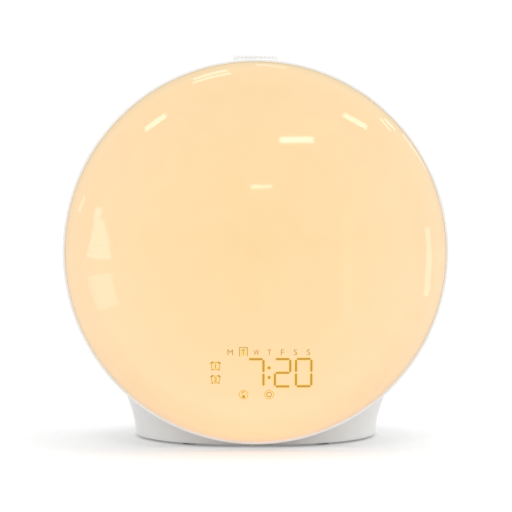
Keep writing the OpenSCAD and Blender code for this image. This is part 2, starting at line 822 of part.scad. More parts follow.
module knob() color("white") difference() {
    union() {
        at_knob(knob_z) rotate_extrude() {
            square([(knob_d - rib_d) / 2 - knob_round, knob_h]);
            square([(knob_d - rib_d) / 2, knob_h - knob_round]);
            translate([(knob_d - rib_d) / 2 - knob_round, knob_h - knob_round])
                circle(knob_round, $fn = 48);
        }
        at_knob(knob_z) for (i = [0 : knob_ribs - 1]) rotate(i * 360 / knob_ribs)
            translate([(knob_d - rib_d) / 2, 0, 0])
                cylinder(d = rib_d, h = knob_h - knob_round - rib_drop, $fn = 16);
    }
    at_knob(knob_z - cut) cylinder(r = knob_hollow_r, h = knob_hollow + cut);
    at_knob(knob_z) shaft_shape(shaft_d + 2 * turn_fit, knob_h - knob_roof, turn_fit);
}

module shaft_shape(d, h, grow) {
    intersection() {
        cylinder(d = d, h = h, $fn = 48);
        translate([-d, -d, -cut]) cube([2 * d, d + shaft_d / 2 - shaft_flat + grow, h + 2 * cut]);
    }
}

module encoder_shaft() color("silver") {
    at_knob(encoder_z + encoder_size[2] - encoder_roof / 2) cylinder(d = shaft_d, h = knob_z + knob_hollow
        - encoder_z - encoder_size[2] + encoder_roof / 2 - shoulder_gap, $fn = 48);
    at_knob(shaft_z) root_shape(shaft_root_d, encoder_z + encoder_size[2] - encoder_roof / 2 - shaft_z, 0);
    at_knob(knob_z + knob_hollow - shoulder_gap) shaft_shape(shaft_d, knob_h - knob_roof - knob_hollow, 0);
}

module root_shape(d, h, grow) {
    intersection() {
        cylinder(d = d, h = h, $fn = 48);
        translate([-d, -d, -cut]) cube([2 * d, d + shaft_root_d / 4 + grow, h + 2 * cut]);
    }
}

module encoder_rotor() color("tan") at_knob(rotor_z) difference() {
    cylinder(r = rotor_r, h = rotor_t);
    translate([0, 0, -cut]) root_shape(shaft_root_d + 2 * turn_fit, rotor_t + 2 * cut, turn_fit);
}

module encoder_plunger() color("ivory") at_knob(plunger_z) cylinder(d = shaft_root_d, h = plunger_t);

module encoder_body() color("dimgray") difference() {
    union() {
        at_knob(encoder_z + encoder_size[2] / 2) cube(encoder_size, center = true);
        at_knob(encoder_z + encoder_size[2]) cylinder(d = bush_d, h = pad_t + bush_h);
    }
    at_knob(encoder_z + encoder_floor)
        cylinder(r = encoder_bore_r, h = encoder_size[2] - encoder_floor - encoder_roof);
    at_knob(encoder_z + encoder_floor + cut)
        cylinder(d = shaft_d + 2 * turn_fit, h = encoder_size[2] + pad_t + bush_h);
}

module encoder_nut() color("silver") at_knob(seat_z) difference() {
    cylinder(d = nut_flats / cos(30), h = nut_t, $fn = 6);
    translate([0, 0, -cut]) cylinder(d = bush_d + 2 * turn_fit, h = nut_t + 2 * cut);
}

module encoder_board() color("darkgreen") at_knob(encoder_z - board_t / 2)
    translate([0, encoder_board_tail / 2, 0])
        cube([encoder_board_w, encoder_size[1] + encoder_board_tail, board_t], center = true);

// Plan outline of the foot at a height, shrunk by inset
function foot_ring(z, inset) = let (a = flare_x(z) - inset, b = tail_y(z) / 2 - inset)
    [for (i = [0 : stand_sides - 1]) let (t = 360 * i / stand_sides)
        [a * cos(t), foot_y - stand_b + tail_y(z) / 2 + b * sin(t), z]];

// The flared foot as a solid between two heights, in a number of rings
module foot_solid(inset, z0, z1, rings) {
    zs = [for (k = [0 : rings]) z0 + (z1 - z0) * k / rings];
    n = stand_sides;
    polyhedron(
        points = [for (z = zs) each foot_ring(z, inset)],
        faces = concat(
            [[for (i = [0 : n - 1]) i]],
            [for (k = [0 : rings - 1], i = [0 : n - 1]) each [
                [k * n + i, (k + 1) * n + i, k * n + (i + 1) % n],
                [k * n + (i + 1) % n, (k + 1) * n + i, (k + 1) * n + (i + 1) % n]]],
            [[for (i = [n - 1 : -1 : 0]) rings * n + i]]));
}

module stand() color("white") difference() {
    union() {
        difference() {
            foot_solid(0, foot_lift, stand_top, stand_rings);
            difference() {
                foot_solid(stand_wall, foot_lift - cut, stand_top, stand_rings);
                drum(-stand_wall, -cut);
            }
        }
        stand_bosses();
    }
    drum(0, -2 * foot_set);
    stand_screw_at() cylinder(d = screw_d + 2 * fit, h = stand_boss_top);
}

module stand_bosses() stand_screw_at()
    translate([0, 0, plate_top + plate_boss_h]) cylinder(d = stand_boss_d, h = stand_boss_top / 2);

module stand_plate() color("whitesmoke") difference() {
    union() {
        foot_solid(stand_wall + fit, foot_lift, plate_top, 1);
        stand_screw_at() translate([0, 0, foot_lift])
            cylinder(d = stand_boss_d, h = plate_t + plate_boss_h);
    }
    pads_at() translate([0, 0, foot_lift - cut]) cylinder(d = pad_d + 2 * fit, h = pad_inset + cut);
    stand_screw_at() {
        cylinder(d = screw_d + 2 * fit, h = stand_boss_top);
        cylinder(d = screw_head_d + 2 * fit, h = foot_lift + screw_head_t + head_sink);
    }
}

module pads_at() {
    edge = stand_wall + pad_edge + pad_d / 2;
    for (x = [-1, 1], y = [-1, 1]) translate([x * (stand_a - edge) * cos(pad_angle),
        foot_y + y * (stand_b - edge) * sin(pad_angle), 0]) children();
}

module stand_pads() color("dimgray") pads_at() cylinder(d = pad_d, h = foot_lift + pad_inset);

module stand_screws() color("silver") stand_screw_at() {
    translate([0, 0, foot_lift + head_sink]) cylinder(d = screw_head_d, h = screw_head_t, $fn = 24);
    translate([0, 0, foot_lift])
        cylinder(d = screw_d, h = stand_boss_top - foot_lift - 2 * stand_boss_roof, $fn = 24);
}

module ring_screws() color("silver") for (i = [0 : ring_screws_n - 1]) {
    slab(ring_depth + pan_t, ring_depth + pan_t + small_head_t) on_ring(i)
        circle(small_head_d / 2, $fn = 24);
    slab(ring_depth + tip_gap - small_bite, ring_depth + pan_t) on_ring(i) circle(small_d / 2, $fn = 24);
}

module shell_screws() color("silver") {
    slab(tower_tip + tower_web, tower_tip + tower_web + screw_head_t) towers_2d(screw_head_d);
    slab(tower_tip - screw_bite, tower_tip + tower_web) towers_2d(screw_d);
}

// Board and speaker screws are driven from the front
module board_screws() color("silver") {
    slab(main_s - small_head_t, main_s) main_bosses_2d(small_head_d);
    slab(main_s, main_s + board_t + small_bite) main_bosses_2d(small_d);
}

module speaker_screws() color("silver") {
    slab(speaker_s - small_head_t, speaker_s) speaker_posts_2d(small_head_d);
    slab(speaker_s, speaker_s + basket_t + gasket_t - tip_gap) speaker_posts_2d(small_d);
}

// Corner cutting rounds a route; its ends stay where they are
function rounder(p) = [p[0], for (i = [0 : len(p) - 2]) each
    [p[i] * 0.75 + p[i + 1] * 0.25, p[i] * 0.25 + p[i + 1] * 0.75], p[len(p) - 1]];
function unit(v) = v / norm(v);

// A lead swept along a route, w wide and t thick
module lead(route, w, t) {
    path = [for (p = rounder(route)) [p[0], ring_y + p[1], centre_z + p[2]]];
    n = len(path);
    sides = 8;
    points = [for (k = [0 : n - 1]) let (
        along = unit(path[min(k + 1, n - 1)] - path[max(k - 1, 0)]),
        across = unit(cross(along, [0.1, 0.3, 1])),
        over = cross(across, along))
        for (i = [0 : sides - 1]) path[k] + across * cos(360 * (i + 0.5) / sides) * w / 2
            + over * sin(360 * (i + 0.5) / sides) * t / 2];
    polyhedron(points = points, faces = concat(
        [[for (i = [0 : sides - 1]) i]],
        [for (k = [0 : n - 2], i = [0 : sides - 1]) each [
            [k * sides + i, (k + 1) * sides + i, k * sides + (i + 1) % sides],
            [k * sides + (i + 1) % sides, (k + 1) * sides + i, (k + 1) * sides + (i + 1) % sides]]],
        [[for (i = [sides - 1 : -1 : 0]) (n - 1) * sides + i]]));
}

module display_ribbon() color("gray") lead(ribbon_route, 2.6 * lead_d, lead_d / 2);

module board_leads() color("firebrick") {
    lead(led_route, lead_d, lead_d);
    lead(encoder_route, lead_d, lead_d);
    lead(speaker_route, lead_d, lead_d);
    lead(key_route, lead_d, lead_d);
    mirror([1, 0, 0]) lead(key_route, lead_d, lead_d);
}

diffuser_dome();
front_ring();
rear_shell();
stand();
stand_plate();
stand_pads();
reflector();
led_board();
leds();
display_lens();
display_shroud();
display_digits();
display_segments();
display_board();
main_board();
board_chips();
board_capacitors();
board_connectors();
dc_inlet();
usb_socket();
speaker_basket();
speaker_magnet();
speaker_cone();
speaker_gasket();
cell_holder();
cell_contacts();
coin_cell();
cell_door();
knob();
encoder_shaft();
encoder_rotor();
encoder_plunger();
encoder_body();
encoder_nut();
encoder_board();
key_board(-1);  // key_board_left
key_board(1);  // key_board_right
switches(-1);  // switches_left
switches(1);  // switches_right
side_key(-1, 1);  // alarm_1_key
side_key(-1, 0);  // alarm_2_key
side_key(-1, -1);  // set_key
side_key(1, 1);  // light_key
side_key(1, 0);  // radio_key
side_key(1, -1);  // colour_key
key_stem(-1, 1);  // alarm_1_stem
key_stem(-1, 0);  // alarm_2_stem
key_stem(-1, -1);  // set_stem
key_stem(1, 1);  // light_stem
key_stem(1, 0);  // radio_stem
key_stem(1, -1);  // colour_stem
ring_screws();
shell_screws();
stand_screws();
board_screws();
speaker_screws();
led_screws();
key_board_screws();
display_ribbon();
board_leads();
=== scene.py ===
# %% [markdown]
# # A sunrise alarm clock
#
# The clock is a round opal lamp on a flared white foot, with a readout that shines through the
# opal and a knurled knob on top. The construction comes as a fixed frame of solids at their real
# size. This lesson gives that frame its finishes, and remodels the pieces whose curves the eye
# follows: the diffuser, the ring, the foot and the knob.

# %% Load the frame
import bmesh
import bpy
import json
import math
from mathutils import Matrix, Vector


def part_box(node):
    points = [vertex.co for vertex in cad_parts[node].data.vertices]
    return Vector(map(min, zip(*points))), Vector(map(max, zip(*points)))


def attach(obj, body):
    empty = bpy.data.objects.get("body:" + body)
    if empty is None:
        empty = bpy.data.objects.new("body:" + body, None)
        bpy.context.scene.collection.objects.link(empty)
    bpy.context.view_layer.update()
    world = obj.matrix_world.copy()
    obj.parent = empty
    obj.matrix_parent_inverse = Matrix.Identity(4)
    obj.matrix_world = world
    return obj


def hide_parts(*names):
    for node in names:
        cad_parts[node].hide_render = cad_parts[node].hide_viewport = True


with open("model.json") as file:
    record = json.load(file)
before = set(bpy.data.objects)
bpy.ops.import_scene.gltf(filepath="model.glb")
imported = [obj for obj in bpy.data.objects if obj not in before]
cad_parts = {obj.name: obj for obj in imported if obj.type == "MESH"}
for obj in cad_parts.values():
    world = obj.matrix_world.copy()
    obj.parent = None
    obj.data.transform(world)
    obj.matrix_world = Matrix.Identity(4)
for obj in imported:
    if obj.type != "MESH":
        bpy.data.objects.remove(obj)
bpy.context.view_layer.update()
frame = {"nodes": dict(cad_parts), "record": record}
MM = 0.001

# %% [markdown]
# ## Places that everything else is measured from
#
# Every remodelled piece is worked out from the solids' own boxes, so it lands where the solid is.
# Three measures are used all through. `r` is the distance from the clock's axis, which runs front
# to back through the middle of the ring. `s` is the depth behind the front edge of the ring, and
# `v` is the height above the axis.

# %% Read the driving places off the frame
ring_low, ring_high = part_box("front_ring")
dome_low, dome_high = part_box("diffuser_dome")
shell_low, shell_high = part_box("rear_shell")
stand_low, stand_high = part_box("stand")
knob_low, knob_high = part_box("knob")

FLANGE_T = 2.2 * MM
RING_R = min(ring_high.x, -ring_low.x)
CENTRE = Vector((0, dome_high.y - FLANGE_T, (ring_high.z + ring_low.z) / 2))
RING_DEPTH = shell_low.y - CENTRE.y
DOME_R = (dome_high.x - dome_low.x) / 2
DOME_BULGE = CENTRE.y - dome_low.y
BODY_DEPTH = shell_high.y - CENTRE.y
DRUM_R = (shell_high.x - shell_low.x) / 2
for what, size in (("ring radius", RING_R), ("dome's bulge", DOME_BULGE), ("drum radius", DRUM_R)):
    print("%s: %.1f mm" % (what, size / MM))


def at(x, v, s):
    """The place at x, v and s."""
    return Vector((x, CENTRE.y + s, CENTRE.z + v))


# %% [markdown]
# ## The camera
#
# The clock is seen from straight ahead and a little above, from far enough away that its sides
# hardly show. A long lens from 1.6 m gives that flat look. The view is aimed a hair to the right
# of the clock's axis and below it.

# %% Camera
CAMERA_DISTANCE = 1.6
CAMERA_TILT = math.radians(5)
FRAME_WIDTH = 0.2446
AIM_RIGHT, AIM_DOWN = 0.2 * MM, 1.6 * MM
NEAREST = 0.05

back = Vector((0, -math.cos(CAMERA_TILT), math.sin(CAMERA_TILT)))
camera = bpy.data.objects.new("camera", bpy.data.cameras.new("camera"))
bpy.context.scene.collection.objects.link(camera)
camera.location = at(AIM_RIGHT, -AIM_DOWN, 0) + CAMERA_DISTANCE * back
camera.rotation_euler = (-back).to_track_quat("-Z", "Y").to_euler()
camera.data.sensor_fit = "HORIZONTAL"
camera.data.angle = 2 * math.atan(FRAME_WIDTH / 2 / CAMERA_DISTANCE)
camera.data.clip_start = NEAREST
bpy.context.scene.camera = camera
print("lens: %.0f mm" % camera.data.lens)

# %% [markdown]
# ## Working with nodes
#
# Materials and Geometry Nodes are both networks of nodes. One function adds a node, sets it and
# links it, so that a network reads as a list. Colours are written as the sRGB hex that a colour
# picker shows, and one function turns them to the linear values that light is reckoned in.


# %% Node helpers
def linear(hex_colour):
    """sRGB hex to linear RGBA."""
    values = [int(hex_colour[i:i + 2], 16) / 255 for i in (0, 2, 4)]
    return [v / 12.92 if v <= 0.04045 else ((v + 0.055) / 1.055) ** 2.4 for v in values] + [1.0]


def add(tree, kind, settings=None, **inputs):
    """Adds a node. settings are its own properties. inputs are values or sockets, by the input's
    name with _ for a space, or by its number after an i."""
    made = tree.nodes.new(kind)
    for key, value in (settings or {}).items():
        setattr(made, key, value)
    for key, value in inputs.items():
        socket = made.inputs[int(key[1:]) if key[1:].isdigit() else key.replace("_", " ")]
        if isinstance(value, bpy.types.NodeSocket):
            tree.links.new(value, socket)
        else:
            socket.default_value = value
    return made


def maths(tree, operation, *values):
    """A maths node on one to three values: its result."""
    inputs = {"i%d" % i: value for i, value in enumerate(values)}
    return add(tree, "ShaderNodeMath", {"operation": operation}, **inputs).outputs[0]


def vector_maths(tree, operation, output, **inputs):
    """A vector maths node: the output of that name."""
    return add(tree, "ShaderNodeVectorMath", {"operation": operation}, **inputs).outputs[output]


# %% Material helpers
def noise(tree, place, size, detail=2.0):
    """Soft noise, with features of about one size."""
    made = add(tree, "ShaderNodeTexNoise", Vector=place, Scale=1 / size, Detail=detail)
    return made.outputs["Fac"]


def ramp(tree, factor, stops):
    """A colour ramp from a list of (place, hex)."""
    made = add(tree, "ShaderNodeValToRGB", i0=factor)
    points = made.color_ramp.elements
    while len(points) < len(stops):
        points.new(1.0)
    for point, (place, colour) in zip(points, stops):
        point.position = place
        point.color = linear(colour)
    return made.outputs["Color"]


def start_material(name):
    """A material with a bare Principled shader: the material, its tree, the shader's inputs, and
    the place on the object."""
    made = bpy.data.materials.new(name)
    made.use_nodes = True
    tree = made.node_tree
    tree.nodes.clear()
    shader = add(tree, "ShaderNodeBsdfPrincipled")
    add(tree, "ShaderNodeOutputMaterial", Surface=shader.outputs["BSDF"])
    return made, tree, shader.inputs, add(tree, "ShaderNodeTexCoord").outputs["Object"]


# %% [markdown]
# ## Moulded, cast and rolled finishes
#
# Nearly everything here is an injection moulding. Moulded plastic is not one flat colour: the
# flow leaves soft patches a shade apart, and the mould leaves a fine grain that spreads the
# reflections. One function gives both, and each finish below states its own colours, roughness
# and grain size in millimetres. Metals use it too, with a finer grain.

# %% A plain finish
FLOW_PATCH = 18 * MM
FLOW_EDGES = (0.35, 0.65)
GLOSS_SPREAD = (0.88, 1.12)
GRAIN_DEPTH = 0.05 * MM


def moulded(name, light, dark, rough, grain_mm, bump, metal=0.0):
    """Two close tones in soft patches, and a fine grain in the gloss and the relief."""
    made, tree, shader, place = start_material(name)
    patches = noise(tree, place, FLOW_PATCH, detail=3.0)
    grain = noise(tree, place, grain_mm * MM)
    colour = ramp(tree, patches, list(zip(FLOW_EDGES, (dark, light))))
    gloss = add(tree, "ShaderNodeMapRange", Value=grain, To_Min=rough * GLOSS_SPREAD[0],
                To_Max=rough * GLOSS_SPREAD[1])
    relief = add(tree, "ShaderNodeBump", Strength=bump, Distance=GRAIN_DEPTH, Height=grain)
    tree.links.new(colour, shader["Base Color"])
    tree.links.new(gloss.outputs["Result"], shader["Roughness"])
    tree.links.new(relief.outputs["Normal"], shader["Normal"])
    shader["Metallic"].default_value = metal
    return made


# %% Plain finishes, one for each slot
PLASTICS = {
    # slot: (name, light tone, dark tone, roughness, grain in mm, relief)
    # ABS from a polished mould: satin white, with faint flow patches
    # Painted shade: this white is a little darker than the ring's and the knob's, for the foot
    "white_gloss": ("white_abs_polished", "EFEEEC", "ECEBE9", 0.36, 0.9, 0.008),
    # The shell's mould is spark eroded, which leaves a fine even grain that breaks up reflections
    "white_shell": ("white_abs_grained", "E6E5E3", "E2E1DF", 0.42, 0.5, 0.14),
    "white_keys": ("white_abs_keys", "E2E1DF", "DDDCDA", 0.32, 0.8, 0.04),
    "grey_plastic": ("grey_abs", "8F8F8D", "868684", 0.5, 0.6, 0.2),
    # Moulded rubber is dark and dull, and picks up a little dust
    "rubber_pads": ("soft_rubber", "3A3A3A", "2C2C2C", 0.8, 0.5, 0.3),
    "reflector_white": ("white_reflector_plastic", "F6F5F2", "F1F0EC", 0.55, 0.7, 0.08),
    "board_white": ("white_solder_mask", "EDEBE2", "E5E3D9", 0.35, 1.2, 0.08),
    "led_amber": ("phosphor_silicone", "FFD878", "FFCB58", 0.3, 0.4, 0.1),
    "black_plastic": ("black_abs", "1E1E1F", "171718", 0.45, 0.6, 0.15),
    "ivory_plastic": ("ivory_nylon", "E2DCC8", "D9D2BC", 0.45, 0.6, 0.1),
    "board_green": ("green_solder_mask", "1D5B35", "174C2C", 0.35, 1.0, 0.1),
    "readout_lens": ("amber_tinted_acrylic", "B07830", "A87028", 0.2, 1.5, 0.02),
    "cone_paper": ("pressed_paper_cone", "26221F", "1B1816", 0.85, 0.5, 0.5),
    "foam_gasket": ("closed_cell_foam", "2B2B2B", "202020", 0.9, 0.8, 0.6),
    "grey_lead": ("grey_ribbon_insulation", "A9A9A8", "9C9C9B", 0.5, 0.8, 0.1),
    "red_lead": ("red_pvc_insulation", "A32018", "8E1A13", 0.4, 0.8, 0.1),
    "ferrite": ("sintered_ferrite", "47464A", "3A393D", 0.6, 0.4, 0.3),
    "steel_black": ("black_painted_steel", "232324", "1B1B1C", 0.4, 0.7, 0.2),
}
METALS = {
    # Plated and bare metals, with a fine rolled grain
    "can_aluminium": ("drawn_aluminium", "D5D6D8", "C6C7CA", 0.32, 0.5, 0.1),
    "steel_plate": ("nickel_plated_steel", "C9C6BF", "BAB7B0", 0.25, 0.5, 0.08),
    "steel_screws": ("zinc_plated_steel", "B9BCC0", "A7AAAF", 0.34, 0.4, 0.1),
    "contact_brass": ("spring_brass", "D8B565", "C9A552", 0.3, 0.5, 0.1),
}
FINISHES = {slot: moulded(*row) for slot, row in PLASTICS.items()}
FINISHES.update({slot: moulded(*row, metal=1.0) for slot, row in METALS.items()})
print("plain finishes:", len(FINISHES))


# %% [markdown]
# ## The glowing opal
#
# The diffuser is opal polycarbonate, a clear plastic full of fine white particles, so the lights
# behind it melt into one even glow. Its own colour is close to white, and the amber comes from
# the lights, so the amber is an emission. The base is painted darker than that white, and the
# emission carries painted light in its place, so the glow shows little shading from the room. The
# emission follows the distance from the axis: a touch deeper in the middle, paler towards the
# edge, and deepest where the flange shades it. It also carries painted light that follows the
# height: strongest at the dome's lower edge, where less of the room's light falls, and a
# little dimmer and yellower at the top. The skin is polished, which gives small sharp reflections.

# %% Opal and lit amber
CLOUD = 9 * MM
CLOUD_EDGES = (0.3, 0.7)
# Painted light on the glow from the dome's lowest point to its highest, strongest low down
PAINTED_LIGHT_BY_HEIGHT = [(0.0, "FFF5FF"), (0.055, "F0E7F0"), (0.15, "DED9DC"), (0.27, "D7D5D7"),
             (0.5, "D1D1D1"), (0.63, "D2D2D2"), (0.95, "CCCCBC")]


def glowing(name, glow, base, strength, rough, ior):
    """A plastic with light behind it. glow is a list of (share of the radius, hex)."""
    made, tree, shader, place = start_material(name)
    centred = add(tree, "ShaderNodeMapping", Vector=place, Location=(0, 0, -CENTRE.z / DOME_R),
                  Scale=(1 / DOME_R, 0, 1 / DOME_R)).outputs["Vector"]
    radius = vector_maths(tree, "LENGTH", "Value", i0=centred)
    height = add(tree, "ShaderNodeSeparateXYZ", Vector=centred).outputs["Z"]
    from_low = add(tree, "ShaderNodeMapRange", Value=height, From_Min=-1.0, From_Max=1.0)
    # A Mix node has its two colours at inputs 6 and 7, and the mixed colour at output 2
    # The glow's colour times the painted light by height
    lit = add(tree, "ShaderNodeMix", {"data_type": "RGBA", "blend_type": "MULTIPLY"}, i0=1.0,
              i6=ramp(tree, radius, glow), i7=ramp(tree, from_low.outputs["Result"], PAINTED_LIGHT_BY_HEIGHT))
    tree.links.new(lit.outputs[2], shader["Emission Color"])
    # Opal is never quite even: its particles leave soft clouds a few millimetres across
    clouds = noise(tree, place, CLOUD)
    tree.links.new(ramp(tree, clouds, list(zip(CLOUD_EDGES, base))), shader["Base Color"])
    shader["Emission Strength"].default_value = strength
    shader["Roughness"].default_value = rough
    shader["IOR"].default_value = ior
    return made


OPAL = {"strength": 0.93, "rough": 0.05, "ior": 1.58}
FINISHES["opal_diffuser"] = glowing(
    "opal_polycarbonate_lit",
    [(0.0, "FFCB73"), (0.5, "FFCE81"), (0.82, "FFCF8F"), (0.91, "FFC98A"), (0.97, "F6C588"),
     (1.0, "D6B486")], ("AEA48E", "ABA18B"), **OPAL)
# The ring and the knob take a lighter copy of the same white: painted light, brighter than the
# foot
LIGHTER_PAINTED_WHITE = moulded("white_abs_bright", "FBFAF8", "F8F7F5", 0.28, 0.9, 0.015)
FINISHES["readout_light"] = glowing(
    "amber_light_in_opal", [(0.0, "E3A208"), (1.0, "DF9E08")], ("947024", "8E6B22"),
    strength=0.62, rough=0.2, ior=1.5)
# Some of the figures' light spreads in the opal round them, and colours it yellower
SPILL = glowing("amber_light_spilt_in_opal", [(0.0, "FACC52"), (1.0, "FAC850")],
                ("AEA47E", "ABA17B"), **OPAL)
print("finishes:", len(FINISHES))

# %% Give every solid its finish
SLOTS = {part["node"]: part["material_slot"] for part in frame["record"]["subparts"]}
for name, solid in frame["nodes"].items():
    solid.data.materials.clear()
    solid.data.materials.append(FINISHES[SLOTS[name]])
print("solids with a finish:", len(frame["nodes"]))

# %% [markdown]
# ## Handing a piece over
#
# A remodelled piece stands for the solids that it replaces, rides on the body that carries them
# and takes the finish of their slot. Before that, its doubled points are merged, its faces are
# turned outwards and its real edges are marked sharp, so that everything else shades smoothly.

# %% Helpers that finish a piece
DOUBLED = 0.0005 * MM
SLIVER = 0.0002 * MM


def link(name, data):
    """A new object in the scene."""
    made = bpy.data.objects.new(name, data)
    bpy.context.scene.collection.objects.link(made)
    return made


def as_mesh(thing):
    """The mesh that an object has with its modifiers, or its outline filled in."""
    graph = bpy.context.evaluated_depsgraph_get()
    return bpy.data.meshes.new_from_object(thing.evaluated_get(graph), depsgraph=graph)


def from_work(name, work):
    """An object with the mesh that has been worked on."""
    made = link(name, bpy.data.meshes.new(name))
    work.to_mesh(made.data)
    work.free()
    return made


def hand_over(piece, body, slot, *nodes, sharp=32, finish=None):
    """Cleans a piece's mesh, gives it its finish, hangs it on its body and hides what it replaces.
    """
    work = bmesh.new()
    work.from_mesh(piece.data)
    bmesh.ops.remove_doubles(work, verts=work.verts, dist=DOUBLED)
    bmesh.ops.dissolve_degenerate(work, edges=work.edges, dist=SLIVER)
    bmesh.ops.recalc_face_normals(work, faces=work.faces)
    work.to_mesh(piece.data)
    work.free()
    piece.data.shade_smooth()
    piece.data.set_sharp_from_angle(angle=math.radians(sharp))
    piece.data.materials.clear()
    piece.data.materials.append(finish or FINISHES[slot])
    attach(piece, body)
    if nodes:
        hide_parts(*nodes)
    print("%s: %d faces" % (piece.name, len(piece.data.polygons)))


# %% [markdown]
# ## Turned pieces
#
# The diffuser, the ring and the knob are all bodies of revolution, as if turned on a lathe. A
# Geometry Nodes tree does that here: it takes a curve that is the profile, sweeps it round a
# circle and merges what meets on the axis. The same tree then serves every turned piece, and
# only the profile changes. The circle has a radius of one metre, and the profile is moved in by
# as much, which keeps the sweep well behaved on the axis. Points that should meet there can end up
# a hair apart, so the merge reaches a hundredth of a millimetre.

# %% The tree that turns a profile
CIRCLE_R = 1.0
MERGE_REACH = 0.01 * MM


def start_tree(name, sizes):
    """A geometry tree with named inputs: the tree, the outputs of its input node, its output."""
    tree = bpy.data.node_groups.new(name, "GeometryNodeTree")
    tree.interface.new_socket("Geometry", in_out="INPUT", socket_type="NodeSocketGeometry")
    for key, kind in sizes.items():
        tree.interface.new_socket(key, in_out="INPUT", socket_type=kind)
    tree.interface.new_socket("Finish", in_out="INPUT", socket_type="NodeSocketMaterial")
    tree.interface.new_socket("Geometry", in_out="OUTPUT", socket_type="NodeSocketGeometry")
    return tree, add(tree, "NodeGroupInput").outputs, add(tree, "NodeGroupOutput")


def sweep(tree, profile, steps):
    """The skin that a profile leaves on its way round the axis."""
    path = add(tree, "GeometryNodeCurvePrimitiveCircle", Resolution=steps, Radius=CIRCLE_R)
    moved = add(tree, "GeometryNodeSetPosition", Geometry=profile, Offset=(-CIRCLE_R, 0, 0))
    skin = add(tree, "GeometryNodeCurveToMesh", Curve=path.outputs["Curve"],
               i1=moved.outputs["Geometry"])
    merged = add(tree, "GeometryNodeMergeByDistance", Geometry=skin.outputs["Mesh"],
                 Distance=MERGE_REACH)
    return merged.outputs["Geometry"]


def end_tree(tree, geometry, finish, output):
    """Ends a tree with plain geometry in its finish."""
    real = add(tree, "GeometryNodeRealizeInstances", Geometry=geometry)
    painted = add(tree, "GeometryNodeSetMaterial", Geometry=real.outputs["Geometry"],
                  Material=finish)
    tree.links.new(painted.outputs["Geometry"], output.inputs["Geometry"])


turning, sizes, output = start_tree("turn a profile", {"Steps": "NodeSocketInt"})
end_tree(turning, sweep(turning, sizes["Geometry"], sizes["Steps"]), sizes["Finish"], output)
print("tree:", turning.name, "with", len(turning.nodes), "nodes")


# %% Profiles, and running a tree on one
def profile_curve(points, closed=False):
    """A curve of straight runs through (r, s) points."""
    data = bpy.data.curves.new("profile", "CURVE")
    data.dimensions = "3D"
    spline = data.splines.new("POLY")
    spline.points.add(len(points) - 1)
    for point, (r, s) in zip(spline.points, points):
        point.co = (r, s, 0, 1)
    spline.use_cyclic_u = closed
    return data


def grow(name, tree, data, place, **values):
    """Runs a tree on a curve and keeps the result, moved to its place, as a plain mesh. values
    are the tree's inputs by name, with _ for a space."""
    base = link(name, data)
    modifier = base.modifiers.new("grow", "NODES")
    modifier.node_group = tree
    for socket in tree.interface.items_tree:
        key = socket.name.replace(" ", "_")
        if key in values:
            modifier[socket.identifier] = values[key]
    mesh = as_mesh(base)
    bpy.data.objects.remove(base)
    mesh.transform(place)
    return link(name, mesh)


def arc(r, s, radius, start, end, steps):
    """Points on an arc about (r, s), with angles from the r direction towards s."""
    turns = [math.radians(start + (end - start) * i / steps) for i in range(steps + 1)]
    return [(r + radius * math.cos(a), s + radius * math.sin(a)) for a in turns]


ROUND_THE_AXIS = Matrix.Translation(CENTRE) @ Matrix.Rotation(math.radians(90), 4, "X")
TURN_STEPS = 256

# %% [markdown]
# ## The diffuser
#
# The opal front is a wide shallow crown that rolls over into a tight edge curve, with no crease
# where the two meet. The two arcs share a tangent there, so the place where they meet follows
# from their radii. Two skins, 2 mm apart, end in the flange that the ring clamps.

# %% Diffuser
CROWN_R = 260 * MM
EDGE_TILT = math.radians(30)
DOME_WALL = 2 * MM
DOME_FLANGE = 5 * MM
CROWN_STEPS, EDGE_STEPS = 48, 22
CROWN_S = CROWN_R - DOME_BULGE
EDGE_R = (CROWN_R ** 2 - DOME_R ** 2 - CROWN_S ** 2) / (
    2 * (CROWN_R - DOME_R * math.cos(EDGE_TILT) - CROWN_S * math.sin(EDGE_TILT)))
EDGE_X = DOME_R - EDGE_R * math.cos(EDGE_TILT)
EDGE_S = EDGE_R * math.sin(EDGE_TILT)
MEET = math.degrees(math.atan2(CROWN_S - EDGE_S, EDGE_X))
MEET_R = CROWN_R * math.cos(math.radians(MEET))


def dome_skin(inset, last):
    """The skin from the axis out to an angle on the edge curve."""
    crown = arc(0, CROWN_S, CROWN_R - inset, -90, -MEET, CROWN_STEPS)
    crown[0] = (0.0, crown[0][1])
    return crown + arc(EDGE_X, EDGE_S, EDGE_R - inset, -MEET, last, EDGE_STEPS)[1:]


inner_last = -math.degrees(math.asin(EDGE_S / (EDGE_R - DOME_WALL)))
diffuser_profile = dome_skin(0, -math.degrees(EDGE_TILT)) + [
    (DOME_R, FLANGE_T), (DOME_R - DOME_FLANGE, FLANGE_T), (DOME_R - DOME_FLANGE, 0),
] + dome_skin(DOME_WALL, inner_last)[::-1]
diffuser = grow("diffuser", turning, profile_curve(diffuser_profile), ROUND_THE_AXIS,
                Steps=TURN_STEPS, Finish=FINISHES["opal_diffuser"])
hand_over(diffuser, "root", "opal_diffuser", "diffuser_dome")

# %% [markdown]
# ## The ring
#
# A thin white ring holds the diffuser. Only its lip shows from the front, 1.4 mm wide, and the
# mould rounds its edges, which is what catches the light all the way round. Behind the lip are
# the step over the flange, the rib that fits inside it, and the sleeve that centres the rear
# shell.

